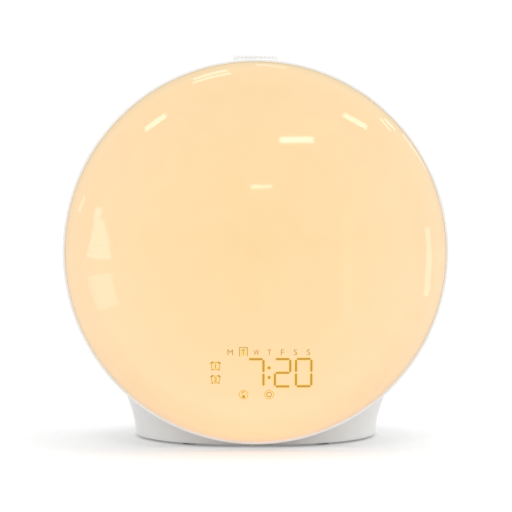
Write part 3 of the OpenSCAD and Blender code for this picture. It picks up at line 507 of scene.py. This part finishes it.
# %% Ring
FIT = 0.15 * MM
LIP_R = DOME_R + 0.03 * MM
LIP_ROUND, LIP_STEPS = 0.5 * MM, 6
REAR_ROUND, REAR_STEPS = 0.8 * MM, 8
STEP_S = FLANGE_T + FIT
RIB_S = -1.5 * MM
RIB_R = DOME_R - DOME_FLANGE - FIT
RIB_IN = RIB_R - 6 * MM
SLEEVE_R = DRUM_R - 2.35 * MM
SLEEVE_IN = SLEEVE_R - 2 * MM
SLEEVE_S = RING_DEPTH + 3.6 * MM
ring_profile = (
    [(RIB_IN, RIB_S), (RIB_R, RIB_S), (RIB_R, STEP_S), (LIP_R, STEP_S)]
    + arc(LIP_R + LIP_ROUND, LIP_ROUND, LIP_ROUND, -180, -90, LIP_STEPS)
    + arc(RING_R - LIP_ROUND, LIP_ROUND, LIP_ROUND, -90, 0, LIP_STEPS)
    + arc(RING_R - REAR_ROUND, RING_DEPTH - REAR_ROUND, REAR_ROUND, 0, 90, REAR_STEPS)
    + [(SLEEVE_R, RING_DEPTH), (SLEEVE_R, SLEEVE_S), (SLEEVE_IN, SLEEVE_S),
       (SLEEVE_IN, RING_DEPTH), (RIB_IN, RING_DEPTH)])
ring = grow("ring", turning, profile_curve(ring_profile, closed=True), ROUND_THE_AXIS,
            Steps=TURN_STEPS, Finish=LIGHTER_PAINTED_WHITE)
hand_over(ring, "root", "white_gloss", "front_ring", finish=LIGHTER_PAINTED_WHITE)

# %% [markdown]
# ## The foot
#
# The foot is an oval that flares out to the sides as it rises and leans forward at the back,
# until it meets the drum. Slicing it level gives an ellipse at every height, so the wall is a
# stack of ellipses. Each of its upright ribs climbs until it reaches the drum, and that height is
# found by halving, so the rim follows the drum without a boolean cut.

# %% The drum's outline, which the foot has to meet
BARREL_R = 260 * MM
BACK_ROUND = 26 * MM
BACK_S = BODY_DEPTH - BACK_ROUND
BARREL_X = DRUM_R - BARREL_R
BACK_X = BARREL_X + math.sqrt((BARREL_R - BACK_ROUND) ** 2 - (BACK_S - RING_DEPTH) ** 2)
DRUM_MEET = RING_DEPTH + BARREL_R * (BACK_S - RING_DEPTH) / (BARREL_R - BACK_ROUND)
print("the drum rolls over %.1f mm behind the ring's front edge" % (DRUM_MEET / MM))


def drum_radius(s):
    """The drum's radius at a depth."""
    if s < DRUM_MEET:
        return BARREL_X + math.sqrt(BARREL_R ** 2 - (s - RING_DEPTH) ** 2)
    if s < BODY_DEPTH:
        return BACK_X + math.sqrt(max(0, BACK_ROUND ** 2 - (s - BACK_S) ** 2))
    return 0


# %% The foot's wall
FOOT_HALF_W = 59.4 * MM
FOOT_HALF_D = 45 * MM
FLARE_R = 44 * MM
FLARE_ANGLE = math.radians(17)
STRAIGHT_UP = FLARE_R * math.sin(FLARE_ANGLE)
TAIL_LEAN = 0.8
FOOT_TOP = 50 * MM
HALVINGS = 40


def foot_place(turn, up, inset):
    """A place on the foot's wall, up above its lower edge."""
    if up < STRAIGHT_UP:
        half_w = FOOT_HALF_W + FLARE_R - math.sqrt(FLARE_R ** 2 - up ** 2)
    else:
        half_w = (FOOT_HALF_W + FLARE_R * (1 - math.cos(FLARE_ANGLE))
                  + (up - STRAIGHT_UP) * math.tan(FLARE_ANGLE))
    half_d = FOOT_HALF_D - TAIL_LEAN * up / 2
    return Vector(((half_w - inset) * math.cos(turn),
                   stand_low.y + half_d + (half_d - inset) * math.sin(turn), stand_low.z + up))


def foot_reach(turn, inset):
    """How far up the wall goes before it reaches the drum."""
    low, high = 0, FOOT_TOP
    for _ in range(HALVINGS):
        up = (low + high) / 2
        place = foot_place(turn, up, inset) - CENTRE
        if math.hypot(place.x, place.z) < drum_radius(place.y):
            high = up
        else:
            low = up
    return low


# %% Foot
FOOT_WALL = 2.5 * MM
FOOT_ROUND = 0.7 * MM
FOOT_RIBS = 224
ROUND_STEPS, WALL_STEPS, INSIDE_STEPS = 5, 26, 8


def foot_section(turn):
    """The wall's closed section: the rounded lower edge, the outside up, the inside down."""
    reach, reach_in = foot_reach(turn, 0), foot_reach(turn, FOOT_WALL)
    section = []
    for i in range(ROUND_STEPS):
        a = math.radians(90 * i / ROUND_STEPS)
        up, inset = FOOT_ROUND * (1 - math.cos(a)), FOOT_ROUND * (1 - math.sin(a))
        section.append(foot_place(turn, up, inset))
    for i in range(WALL_STEPS + 1):
        up = FOOT_ROUND + (reach - FOOT_ROUND) * i / WALL_STEPS
        section.append(foot_place(turn, up, 0))
    for i in range(INSIDE_STEPS + 1):
        section.append(foot_place(turn, reach_in * (1 - i / INSIDE_STEPS), FOOT_WALL))
    return section


work = bmesh.new()
sections = [[work.verts.new(place) for place in foot_section(2 * math.pi * i / FOOT_RIBS)]
            for i in range(FOOT_RIBS)]
for here, following in zip(sections, sections[1:] + sections[:1]):
    for i in range(len(here)):
        work.faces.new((here[i - 1], here[i], following[i], following[i - 1]))
hand_over(from_work("foot", work), "root", "white_gloss", "stand")

# %% [markdown]
# ## The knurled knob
#
# The knob is turned too, with thirty low ribs round its side for the fingers. The ribs repeat, so
# the tree makes them: after the sweep, each point is pushed outwards by a half-round that depends
# on its angle alone, and on nothing above the shoulder. One smooth closed skin comes out, with no
# pieces stuck on.

# %% The tree that turns and knurls
ON_SIDE_WITHIN = 0.05 * MM
knurling, sizes, output = start_tree("turn and knurl", {
    "Steps": "NodeSocketInt", "Ribs": "NodeSocketInt", "Rib size": "NodeSocketFloat",
    "Radius": "NodeSocketFloat", "Shoulder": "NodeSocketFloat"})
turned = sweep(knurling, sizes["Geometry"], sizes["Steps"])


def knurl(operation, *values):
    """A maths node in this tree."""
    return maths(knurling, operation, *values)


spot = add(knurling, "GeometryNodeInputPosition").outputs["Position"]
split = add(knurling, "ShaderNodeSeparateXYZ", Vector=spot).outputs
rib_r = knurl("MULTIPLY", sizes["Rib size"], 0.5)
# How far round a point is from the middle of its rib, in shares of the rib's half width
half_pitch = knurl("MULTIPLY", knurl("DIVIDE", 2 * math.pi, sizes["Ribs"]), 0.5)
angle = knurl("ARCTAN2", split["Y"], split["X"])
off_rib = knurl("ABSOLUTE", knurl("WRAP", angle, half_pitch, knurl("MULTIPLY", half_pitch, -1.0)))
share = knurl("DIVIDE", knurl("MULTIPLY", off_rib, sizes["Radius"]), rib_r)
left = knurl("SUBTRACT", 1.0, knurl("POWER", share, 2.0))
half_round = knurl("SQRT", knurl("MAXIMUM", left, 0.0))
# Only points on the side and below the shoulder move
level = vector_maths(knurling, "MULTIPLY", "Vector", i0=spot, i1=(1, 1, 0))
distance = vector_maths(knurling, "LENGTH", "Value", i0=level)
on_side = knurl("GREATER_THAN", distance, knurl("SUBTRACT", sizes["Radius"], ON_SIDE_WITHIN))
below = knurl("LESS_THAN", split["Z"], sizes["Shoulder"])
push = knurl("MULTIPLY", knurl("MULTIPLY", half_round, knurl("MULTIPLY", on_side, below)), rib_r)
outwards = vector_maths(knurling, "NORMALIZE", "Vector", i0=level)
pushed = vector_maths(knurling, "SCALE", "Vector", i0=outwards, Scale=push)
knurled = add(knurling, "GeometryNodeSetPosition", Geometry=turned, Offset=pushed)
end_tree(knurling, knurled.outputs["Geometry"], sizes["Finish"], output)
print("tree:", knurling.name, "with", len(knurling.nodes), "nodes")

# %% Knob
KNOB_H = knob_high.z - knob_low.z
RIB_D = 1.1 * MM
KNOB_R = (knob_high.x - knob_low.x - RIB_D) / 2
KNOB_ROUND, KNOB_ROUND_STEPS = 0.6 * MM, 8
KNOB_EDGE = 0.2 * MM
RIB_TOP = KNOB_H - KNOB_ROUND - 0.3 * MM
SIDE_STEPS = 6
SHAFT_R, BORE = 3.05 * MM, 5.5 * MM
HOLLOW_R, HOLLOW = 8 * MM, 2.6 * MM
DISH_R, DISH = KNOB_R - 2.2 * MM, 0.25 * MM
knob_profile = (
    [(0, BORE), (SHAFT_R, BORE), (SHAFT_R, HOLLOW), (HOLLOW_R, HOLLOW), (HOLLOW_R, 0),
     (KNOB_R - KNOB_EDGE, 0)]
    + [(KNOB_R, KNOB_EDGE + (RIB_TOP - 0.3 * MM) * i / SIDE_STEPS) for i in range(SIDE_STEPS + 1)]
    + [(KNOB_R, RIB_TOP), (KNOB_R, RIB_TOP + 0.05 * MM)]
    + arc(KNOB_R - KNOB_ROUND, KNOB_H - KNOB_ROUND, KNOB_ROUND, 0, 90, KNOB_ROUND_STEPS)
    # A shallow dish keeps a fingertip centred
    + [(DISH_R, KNOB_H), (DISH_R - 0.5 * MM, KNOB_H - 0.2 * MM),
       (DISH_R - 1 * MM, KNOB_H - DISH), (0, KNOB_H - DISH)])
knob_place = Matrix.Translation((
    (knob_low.x + knob_high.x) / 2, (knob_low.y + knob_high.y) / 2, knob_low.z))
# The sweep lays the profile's second measure downwards, so heights go in with a minus
knob = grow("knob_knurled", knurling, profile_curve([(r, -h) for r, h in knob_profile]),
            knob_place, Steps=480, Ribs=30, Rib_size=RIB_D, Radius=KNOB_R,
            Shoulder=RIB_TOP + 0.02 * MM, Finish=LIGHTER_PAINTED_WHITE)
hand_over(knob, "knob_dial", "white_gloss", "knob", sharp=50, finish=LIGHTER_PAINTED_WHITE)

# %% [markdown]
# ## Softened edges on the keys and the cell door
#
# A moulded key has no sharp edge. The solids of the keys and the door have the right shape, so
# each is copied, its flat faces are joined up again, and a bevel rounds every edge a little.

# %% Softened copies of solids
SAME_POINT = 0.002 * MM
FLAT_WITHIN = math.radians(1)
BEVEL_FROM = math.radians(40)
KEYS = ("alarm_1_key", "alarm_2_key", "set_key", "light_key", "radio_key", "colour_key")
KEY_ROUND, DOOR_ROUND = 0.35 * MM, 0.25 * MM


def soften(node, width):
    """A copy of a solid with its edges rounded. It rides on the body of the same name."""
    mesh = frame["nodes"][node].data.copy()
    work = bmesh.new()
    work.from_mesh(mesh)
    bmesh.ops.remove_doubles(work, verts=work.verts, dist=SAME_POINT)
    bmesh.ops.dissolve_limit(work, angle_limit=FLAT_WITHIN, verts=work.verts, edges=work.edges)
    work.to_mesh(mesh)
    work.free()
    copy = link(node + "_moulded", mesh)
    bevel = copy.modifiers.new("soft edges", "BEVEL")
    bevel.width = width
    bevel.segments = 3
    bevel.limit_method = "ANGLE"
    bevel.angle_limit = BEVEL_FROM
    rounded = as_mesh(copy)
    copy.modifiers.clear()
    copy.data = rounded
    hand_over(copy, node, SLOTS[node], node, sharp=40)


for key in KEYS:
    soften(key, KEY_ROUND)
soften("cell_door", DOOR_ROUND)

# %% [markdown]
# ## The readout that shines through
#
# The digits and marks lie behind the opal and show on its skin as amber figures. They are drawn
# flat, in x and v and in millimetres, then laid on the skin: each point moves to the depth of the
# dome under it, and the figure gets a thickness inwards. They stand 0.05 mm proud, too little to
# see but enough to render cleanly. The light that spills round them is laid the same way, a
# little lower.

# %% The skin, and laying figures on it
PROUD, SPILL_PROUD = 0.05 * MM, 0.025 * MM
FIGURE_T = 0.3 * MM


def dome_depth(x, v):
    """How deep the dome's skin lies at x and v."""
    r = math.hypot(x, v)
    if r < MEET_R:
        return CROWN_S - math.sqrt(CROWN_R ** 2 - r ** 2)
    return EDGE_S - math.sqrt(max(0, EDGE_R ** 2 - (r - EDGE_X) ** 2))


def lay_on_dome(name, work, proud=PROUD, finish=None):
    """Lays flat figures on the dome, gives them a thickness and hands them over."""
    faces = list(work.faces)
    for vert in work.verts:
        x, v = vert.co.x, vert.co.y
        vert.co = at(x, v, dome_depth(x, v) - proud)
    extruded = bmesh.ops.extrude_face_region(work, geom=faces)
    for item in extruded["geom"]:
        if isinstance(item, bmesh.types.BMVert):
            item.co.y += FIGURE_T
    hand_over(from_work(name, work), "root", "readout_light", finish=finish)


# %% Ways to draw
SHARPEST_MITRE = 0.4


def point(work, spot):
    """A new point of the drawing, from millimetres."""
    return work.verts.new((spot[0] * MM, spot[1] * MM, 0))


def fill(work, spots):
    """One face with this outline."""
    work.faces.new([point(work, spot) for spot in spots])


def stroke(work, spots, width, closed=False):
    """A line of one width through spots, with square ends."""
    spots = [Vector(spot) for spot in spots]
    sides = []
    for i, spot in enumerate(spots):
        before = spots[i - 1] if i or closed else spot
        after = spots[(i + 1) % len(spots)] if i + 1 < len(spots) or closed else spot
        behind, ahead = (spot - before), (after - spot)
        behind = behind.normalized() if behind.length else ahead.normalized()
        ahead = ahead.normalized() if ahead.length else behind
        mitre = (behind + ahead).normalized()
        sharpness = max(SHARPEST_MITRE, mitre.dot(ahead))
        across = Vector((-mitre.y, mitre.x)) * width / 2 / sharpness
        sides.append([point(work, spot + across), point(work, spot - across)])
    for i in range(len(sides) - (0 if closed else 1)):
        (a, b), (c, d) = sides[i], sides[(i + 1) % len(sides)]
        work.faces.new((a, b, d, c))


def circle(x, v, r, steps=28):
    """Spots on a circle."""
    turns = [math.radians(360 * i / steps) for i in range(steps)]
    return [(x + r * math.cos(a), v + r * math.sin(a)) for a in turns]


# %% [markdown]
# Seven bars make each digit. A bar is a long hexagon with blunt points, and neighbouring bars
# stay a hair apart, as on any such display. Each digit is listed by the bars that are lit.

# %% Digits and colon
DIGIT_V = -55.75
DIGIT_AT = {0.1: "7", 12.8: "2", 22.82: "0"}
COLON_AT = [(6.41, DIGIT_V + 2.45), (6.41, DIGIT_V - 2.25)]
COLON_R, COLON_STEPS = 0.72, 20
BAR, BAR_GAP = 0.98, 0.3
TIP, BLUNT = 0.42, 0.25
LIT = {"7": "abc", "2": "abged", "0": "abcdef"}
W, H = 3.65, 6.7
BARS = {
    "a": ((-W, H), (W, H)), "g": ((-W, 0), (W, 0)), "d": ((-W, -H), (W, -H)),
    "f": ((-W, 0), (-W, H)), "b": ((W, 0), (W, H)),
    "e": ((-W, -H), (-W, 0)), "c": ((W, -H), (W, 0))}


def lit_bars():
    """The two ends of each bar that is lit."""
    for centre, figure in DIGIT_AT.items():
        for name in LIT[figure]:
            yield [Vector((centre + x, DIGIT_V + v)) for x, v in BARS[name]]


def bar(work, start, end):
    """A long hexagon with blunt points."""
    run = (end - start).normalized()
    across = Vector((-run.y, run.x)) * BAR / 2
    start, end = start + run * BAR_GAP, end - run * BAR_GAP
    tip, blunt = run * BAR * TIP, across * BLUNT
    fill(work, [start + blunt, start - blunt, start + tip - across, end - tip - across,
                end - blunt, end + blunt, end - tip + across, start + tip + across])


work = bmesh.new()
for start, end in lit_bars():
    bar(work, start, end)
for x, v in COLON_AT:
    fill(work, circle(x, v, COLON_R, steps=COLON_STEPS))
lay_on_dome("readout_digits", work)

# %% The digits' spill
BAR_SPILL = 2.1
BAR_SPILL_FROM, BAR_SPILL_STEP = 0.05, 0.15
COLON_SPILL_R, COLON_SPILL = 0.85, 0.9

work = bmesh.new()
for start, end in lit_bars():
    spots = [start.lerp(end, BAR_SPILL_FROM + BAR_SPILL_STEP * i) for i in range(7)]
    stroke(work, spots, BAR_SPILL)
for x, v in COLON_AT:
    stroke(work, circle(x, v, COLON_SPILL_R, steps=COLON_STEPS), COLON_SPILL, closed=True)
lay_on_dome("readout_digits_spill", work, SPILL_PROUD, SPILL)


# %% [markdown]
# The weekday initials are the built-in font, made a mesh and scaled to 2.8 mm. Today's initial
# has a bracket round it. Two small alarm marks carry the plain numbers 1 and 2, and two round
# marks stand below the digits.


# %% Weekdays
def letter(work, text, x, v, height, weight, widest=9):
    """A character of one height in mm, no wider than widest, with its middle at x and v."""
    curve = bpy.data.curves.new("letter", "FONT")
    curve.body = text
    curve.resolution_u = 6
    curve.offset = weight
    base = link("letter", curve)
    mesh = as_mesh(base)
    bpy.data.objects.remove(base)
    xs, ys = [p.co.x for p in mesh.vertices], [p.co.y for p in mesh.vertices]
    scale = height / (max(ys) - min(ys))
    narrow = min(1, widest / scale / (max(xs) - min(xs)))
    middle = Vector(((max(xs) + min(xs)) / 2, (max(ys) + min(ys)) / 2, 0))
    mesh.transform(Matrix.Translation((x * MM, v * MM, 0))
                   @ Matrix.Diagonal((scale * narrow * MM, scale * MM, 1, 1))
                   @ Matrix.Translation(-middle))
    work.from_mesh(mesh)


DAY_X, DAY_V, DAY_PITCH, DAY_H = -12.0, -45.75, 6.18, 2.8
BRACKET = [(-7.65, -47.6), (-7.65, -43.4), (-3.87, -43.4), (-3.87, -47.6)]

work = bmesh.new()
for i, initial in enumerate("MTWTFSS"):
    widest = 2.8 if initial in "MW" else 1.9
    letter(work, initial, DAY_X + DAY_PITCH * i, DAY_V, DAY_H, 0.0, widest)
stroke(work, BRACKET, 0.36)
lay_on_dome("readout_weekdays", work)

# %% Alarm marks
ALARM_X = -19
# number: (v, half the width of the case's lower edge)
ALARMS = {"1": (-52.5, 1.7), "2": (-59.1, 1.55)}

work = bmesh.new()
for number, (v, bottom) in ALARMS.items():
    # The clock's case narrows downwards, between two bells and two feet
    case = [(-2.1, 0.2), (-1.95, 1.1), (-1.3, 1.7), (1.3, 1.7), (1.95, 1.1), (2.1, 0.2),
            (bottom, -1.7), (-bottom, -1.7)]
    stroke(work, [(ALARM_X + x, v + up) for x, up in case], 0.24, closed=True)
    for side in (-1, 1):
        bell = [(ALARM_X + side * 1.1, v + 2.15), (ALARM_X + side * 2.4, v + 1.2)]
        leg = [(ALARM_X + side * 1.3, v - 1.5), (ALARM_X + side * 1.85, v - 2.15)]
        stroke(work, bell, 0.66)
        stroke(work, leg, 0.5)
    letter(work, number, ALARM_X, v, 2.0, 0.02)
lay_on_dome("readout_alarm_marks", work)

# %% Round marks
LAMP_X, SUN_X = -5.69, 6.42

work = bmesh.new()
# A lamp under a shade, for the bedside light
stroke(work, circle(LAMP_X, -66.45, 2.05), 0.18, closed=True)
stroke(work, [(-6.5, -66.1), (-6.0, -65.1), (-5.2, -65.1)], 0.36)
fill(work, circle(LAMP_X, -67.45, 0.72, steps=16))
# A sun, for the sunrise
stroke(work, circle(SUN_X, -66.4, 2.15), 0.18, closed=True)
stroke(work, circle(SUN_X, -66.4, 1.1), 0.42, closed=True)
lay_on_dome("readout_round_marks", work)

# %% The marks' spill
work = bmesh.new()
for x in (LAMP_X, SUN_X):
    stroke(work, circle(x, -66.42, 2.0), 0.7, closed=True)
    stroke(work, circle(x, -66.42, 1.1), 0.6, closed=True)
for v, _ in ALARMS.values():
    stroke(work, circle(ALARM_X, v, 1.5), 1.2, closed=True)
# Inside the bracket
stroke(work, [(-5.76, -43.9 - 0.9 * i) for i in range(5)], 3.2)
lay_on_dome("readout_marks_spill", work, SPILL_PROUD, SPILL)

# %% [markdown]
# ## The room
#
# The clock stands on a plain pale floor under soft, even light, so that a colour renders about as
# it is written. The world is white where it is seen or mirrored, and a little dimmer as light.

# %% World
SKY_LIT, SKY_SEEN = 0.86, 1.0


def seen(tree):
    """1 where a surface is looked at, directly or in a reflection or through glass."""
    ways = add(tree, "ShaderNodeLightPath").outputs
    either = maths(tree, "MAXIMUM", ways["Is Camera Ray"], ways["Is Glossy Ray"])
    return maths(tree, "MAXIMUM", either, ways["Is Transmission Ray"])


world = bpy.data.worlds.new("studio")
bpy.context.scene.world = world
world.use_nodes = True
sky = world.node_tree
sky.nodes.clear()
dim, bright = [add(sky, "ShaderNodeBackground", Color=linear("FFFFFF"), Strength=strength)
               for strength in (SKY_LIT, SKY_SEEN)]
choice = add(sky, "ShaderNodeMixShader", i0=seen(sky), i1=dim.outputs["Background"],
             i2=bright.outputs["Background"])
add(sky, "ShaderNodeOutputWorld", Surface=choice.outputs["Shader"])
print("world:", world.name)

# %% [markdown]
# The floor shines a little of its own where it is seen, which takes it to white and keeps the
# shadow. The shine grows with the distance from the foot, counted in shares of an oval that lies
# under it, so the floor is painted darker round the foot, over its real shadow. A band of painted
# light lies along the foot's front edge, standing in for the opal's light on the floor.


# %% Floor
def off_oval(tree, place, half_x, half_y, middle_y):
    """How far a place is from the middle of an oval on the floor: 1 on the oval's edge."""
    scaled = add(tree, "ShaderNodeMapping", Vector=place, Location=(0, -middle_y / half_y, 0),
                 Scale=(1 / half_x, 1 / half_y, 0))
    return vector_maths(tree, "LENGTH", "Value", i0=scaled.outputs["Vector"])


def fade(tree, value, start, end, first, last):
    """Goes smoothly from first to last as a value goes from start to end."""
    return add(tree, "ShaderNodeMapRange", {"interpolation_type": "SMOOTHSTEP"}, Value=value,
               From_Min=start, From_Max=end, To_Min=first, To_Max=last).outputs["Result"]


FLOOR_SIZE = 60
FIBRE = 4 * MM
OVAL_INSET = 6 * MM
FOOT_X = (stand_high.x - stand_low.x) / 2 - OVAL_INSET
FOOT_Y = (stand_high.y - stand_low.y) / 2
# The band of painted light along the foot's front edge: its half sizes, and how far ahead it lies
LIGHT_BAND_X, LIGHT_BAND_Y, LIGHT_BAND_AHEAD = 60 * MM, 9 * MM, 2 * MM

bpy.ops.mesh.primitive_plane_add(size=FLOOR_SIZE, location=(0, 0, 0))
floor = bpy.context.object
floor.name = "floor"
paper, tree, shader, place = start_material("pale_studio_paper")
fibres = noise(tree, place, FIBRE)
tree.links.new(ramp(tree, fibres, [(0.3, "D0D0D0"), (0.7, "D4D4D4")]), shader["Base Color"])
shader["Roughness"].default_value = 0.9
shader["Specular IOR Level"].default_value = 0.1
shader["Emission Color"].default_value = linear("FFFFFF")
away = off_oval(tree, place, FOOT_X, FOOT_Y, stand_low.y + FOOT_Y)
off_painted_light_band = off_oval(tree, place, LIGHT_BAND_X, LIGHT_BAND_Y, stand_low.y - LIGHT_BAND_AHEAD)
# From where to where, in shares of the oval, and the shine at both ends
# Painted shade: the shine is weaker near the foot and grows outwards
painted_shade_near_foot = fade(tree, away, 0.98, 1.4, 0.24, 0.32)
far = fade(tree, away, 1.4, 3.0, 0.0, 0.12)
# Painted light along the foot's front edge
painted_light_band = fade(tree, off_painted_light_band, 0.0, 1.0, 0.26, 0.0)
shine = maths(tree, "ADD", maths(tree, "ADD", painted_shade_near_foot, far), painted_light_band)
tree.links.new(maths(tree, "MULTIPLY", seen(tree), shine), shader["Emission Strength"])
floor.data.materials.append(paper)
print("floor: %d m square" % FLOOR_SIZE)

# %% [markdown]
# Three broad lamps give the soft shading: the largest hangs above, and one stands on each side,
# the right one the stronger. They don't show in the polished opal. Brightness is set as radiance,
# how bright the lamp's face looks, so that changing a lamp's size leaves its reflection as bright
# as it was.


# %% Soft lamps
def lamp(name, where, width, height, radiance, aim, roll=None, shiny=True):
    """A rectangular lamp that faces aim, with its width along roll."""
    data = bpy.data.lights.new(name, "AREA")
    data.shape = "RECTANGLE"
    data.size, data.size_y = width, height
    data.energy = radiance * math.pi * width * height
    made = link(name, data)
    made.visible_camera = False
    made.visible_glossy = shiny
    face = (Vector(where) - Vector(aim)).normalized()
    side = roll or Vector((0, 0, 1)).cross(face)
    side = (side - face * side.dot(face)).normalized()
    turn = Matrix((side, face.cross(side), face)).transposed().to_4x4()
    made.matrix_world = Matrix.Translation(where) @ turn


SOFT_LAMPS = {
    # name: (where, side of the square, radiance)
    "soft_top": ((0.3, 0.2, 1.6), 1.0, 1.1),
    "soft_left": ((-1.4, 0.1, 0.5), 0.8, 1.1),
    "soft_right": ((1.4, 0.1, 0.6), 0.8, 1.6),
}
for name, (where, size, radiance) in SOFT_LAMPS.items():
    lamp(name, where, size, size, radiance, CENTRE, shiny=False)
print("soft lamps:", len(SOFT_LAMPS))

# %% [markdown]
# ## Reflections on the diffuser
#
# The polished opal mirrors small bright windows and strip lights. Guessing where to put a lamp so
# that its reflection lands in one spot takes many tries. It is quicker to work backwards: follow
# the line of sight to the two ends of the reflection, bounce it off the dome, and hang a strip
# lamp between the two places where the bounced lines end. All the lamps of one reflection hang
# equally far away, and never so far that one of them would sink into the floor.

# %% Where a sight line goes after the dome
FARTHEST = 1.5
FLOOR_SHARE = 0.6
LEVEL = 0.001


def bounce(x, v):
    """Where the sight line goes after the dome: its start and direction."""
    place = at(x, v, dome_depth(x, v))
    r = math.hypot(x, v)
    if r < MEET_R:
        middle = at(0, 0, CROWN_S)
    else:
        middle = at(x * EDGE_X / r, v * EDGE_X / r, EDGE_S)
    normal = (place - middle).normalized()
    sight = (place - camera.location).normalized()
    return place, sight - 2 * sight.dot(normal) * normal


def clear_run(spot):
    """How far a sight line may run after the dome: a good part of its way down to the floor."""
    place, direction = bounce(*spot)
    return min(FARTHEST, FLOOR_SHARE * place.z / max(-direction.z, LEVEL))


def landing(spot, where, direction):
    """Where a spot's sight line crosses the plane through where that is square to direction."""
    source, ray = bounce(*spot)
    return source + ray * ((where - source).dot(direction) / ray.dot(direction))


# %% Lamps placed by their reflection
def along(path, share):
    """The place on a path of straight runs at a share of its length."""
    spots = [Vector(spot) for spot in path]
    runs = [(b - a).length for a, b in zip(spots, spots[1:])]
    left = share * sum(runs)
    for a, b, run in zip(spots, spots[1:], runs):
        if left <= run:
            return a.lerp(b, left / run)
        left -= run
    return spots[-1]


def glint(name, path, widths, radiance, pieces):
    """Lamps whose reflection is a strip along a path, in mm on the dome, and changes from one
    width to another."""
    seams = [along(path, i / pieces) * MM for i in range(pieces + 1)]
    distance = min(clear_run(seam) for seam in seams)
    for i, (first, last) in enumerate(zip(seams, seams[1:])):
        middle = (first + last) / 2
        run = (last - first).normalized()
        width = widths[0] + (widths[1] - widths[0]) * (i + 0.5) / pieces
        across = Vector((-run.y, run.x)) * width * MM / 2
        place, direction = bounce(*middle)
        where = place + direction * distance
        marks = [landing(spot, where, direction)
                 for spot in (first, last, middle - across, middle + across)]
        # The dome stretches a strip far more one way than the other, so the lamp follows its
        # long side
        sides = (marks[1] - marks[0], marks[3] - marks[2])
        short, long = sorted(sides, key=lambda side: side.length)
        height = (short - short.project(long)).length
        centre = sum(marks, Vector()) / 2 - where
        lamp("%s_%d" % (name, i), centre, long.length, height, radiance, place, long)


# %% The reflections
GLINTS = {
    # name: (path, (first width, last width), radiance, pieces)
    "strip_centre": (((11.3, 54.8), (27.3, 54.8)), (2.7, 2.7), 6.0, 1),
    "strip_small": (((-2.1, 32.9), (7.7, 33.1)), (2.1, 1.4), 4.5, 2),
    "strip_left": (((-52.1, 59.4), (-42.4, 66.3)), (2.3, 2.3), 4.5, 5),
    "strip_right": (((41.6, 66.5), (52.7, 60.3)), (2.3, 2.3), 4.5, 5),
    "strip_top_outer": (((-29.6, 82.8), (-21.6, 85.4), (-13.3, 87.2)), (1.0, 1.0), 3.0, 4),
    "strip_top_inner": (((-29.9, 81.1), (-21.0, 84.0), (-11.8, 85.8)), (1.0, 1.0), 3.0, 4),
    "strip_edge_inner": (((58.9, 64.7), (64.3, 58.0)), (0.6, 0.6), 3.6, 3),
    "strip_edge_outer": (((61.2, 64.3), (66.4, 58.7)), (0.6, 0.6), 3.6, 3),
    "strip_rim": (((69.9, 56.6), (76.4, 48.2), (81.2, 40.5), (83.2, 36.7)), (0.8, 1.2), 1.8, 6),
    "strip_crown": (((0.2, 89.8), (6.8, 89.4), (14.4, 88.2)), (0.7, 0.9), 1.5, 4),
    "window_high": (((-74.9, 22.4), (-74.3, 16.5), (-73.9, 10.9), (-73.9, 5.2), (-74.3, -1.6)),
                    (2.0, 12.5), 2.2, 8),
    "window_low": (((-74.0, -9.5), (-72.4, -17.0), (-69.7, -25.0)), (12.0, 11.0), 1.2, 5),
    "window_far": (((-84.1, 19.9), (-81.0, 27.6)), (1.3, 1.3), 1.6, 3),
    "window_right": (((81.5, 13.0), (82.4, 4.4), (82.4, -3.7), (81.3, -20.0)),
                     (2.4, 2.8), 2.0, 6),
    "curtain_right": (((43.0, 22.0), (43.0, -31.4)), (5.5, 5.5), 0.3, 2),
}
for name, strip in GLINTS.items():
    glint(name, *strip)
print("lamps:", len(bpy.data.lights))

bpy.context.scene.view_settings.view_transform = "Standard"
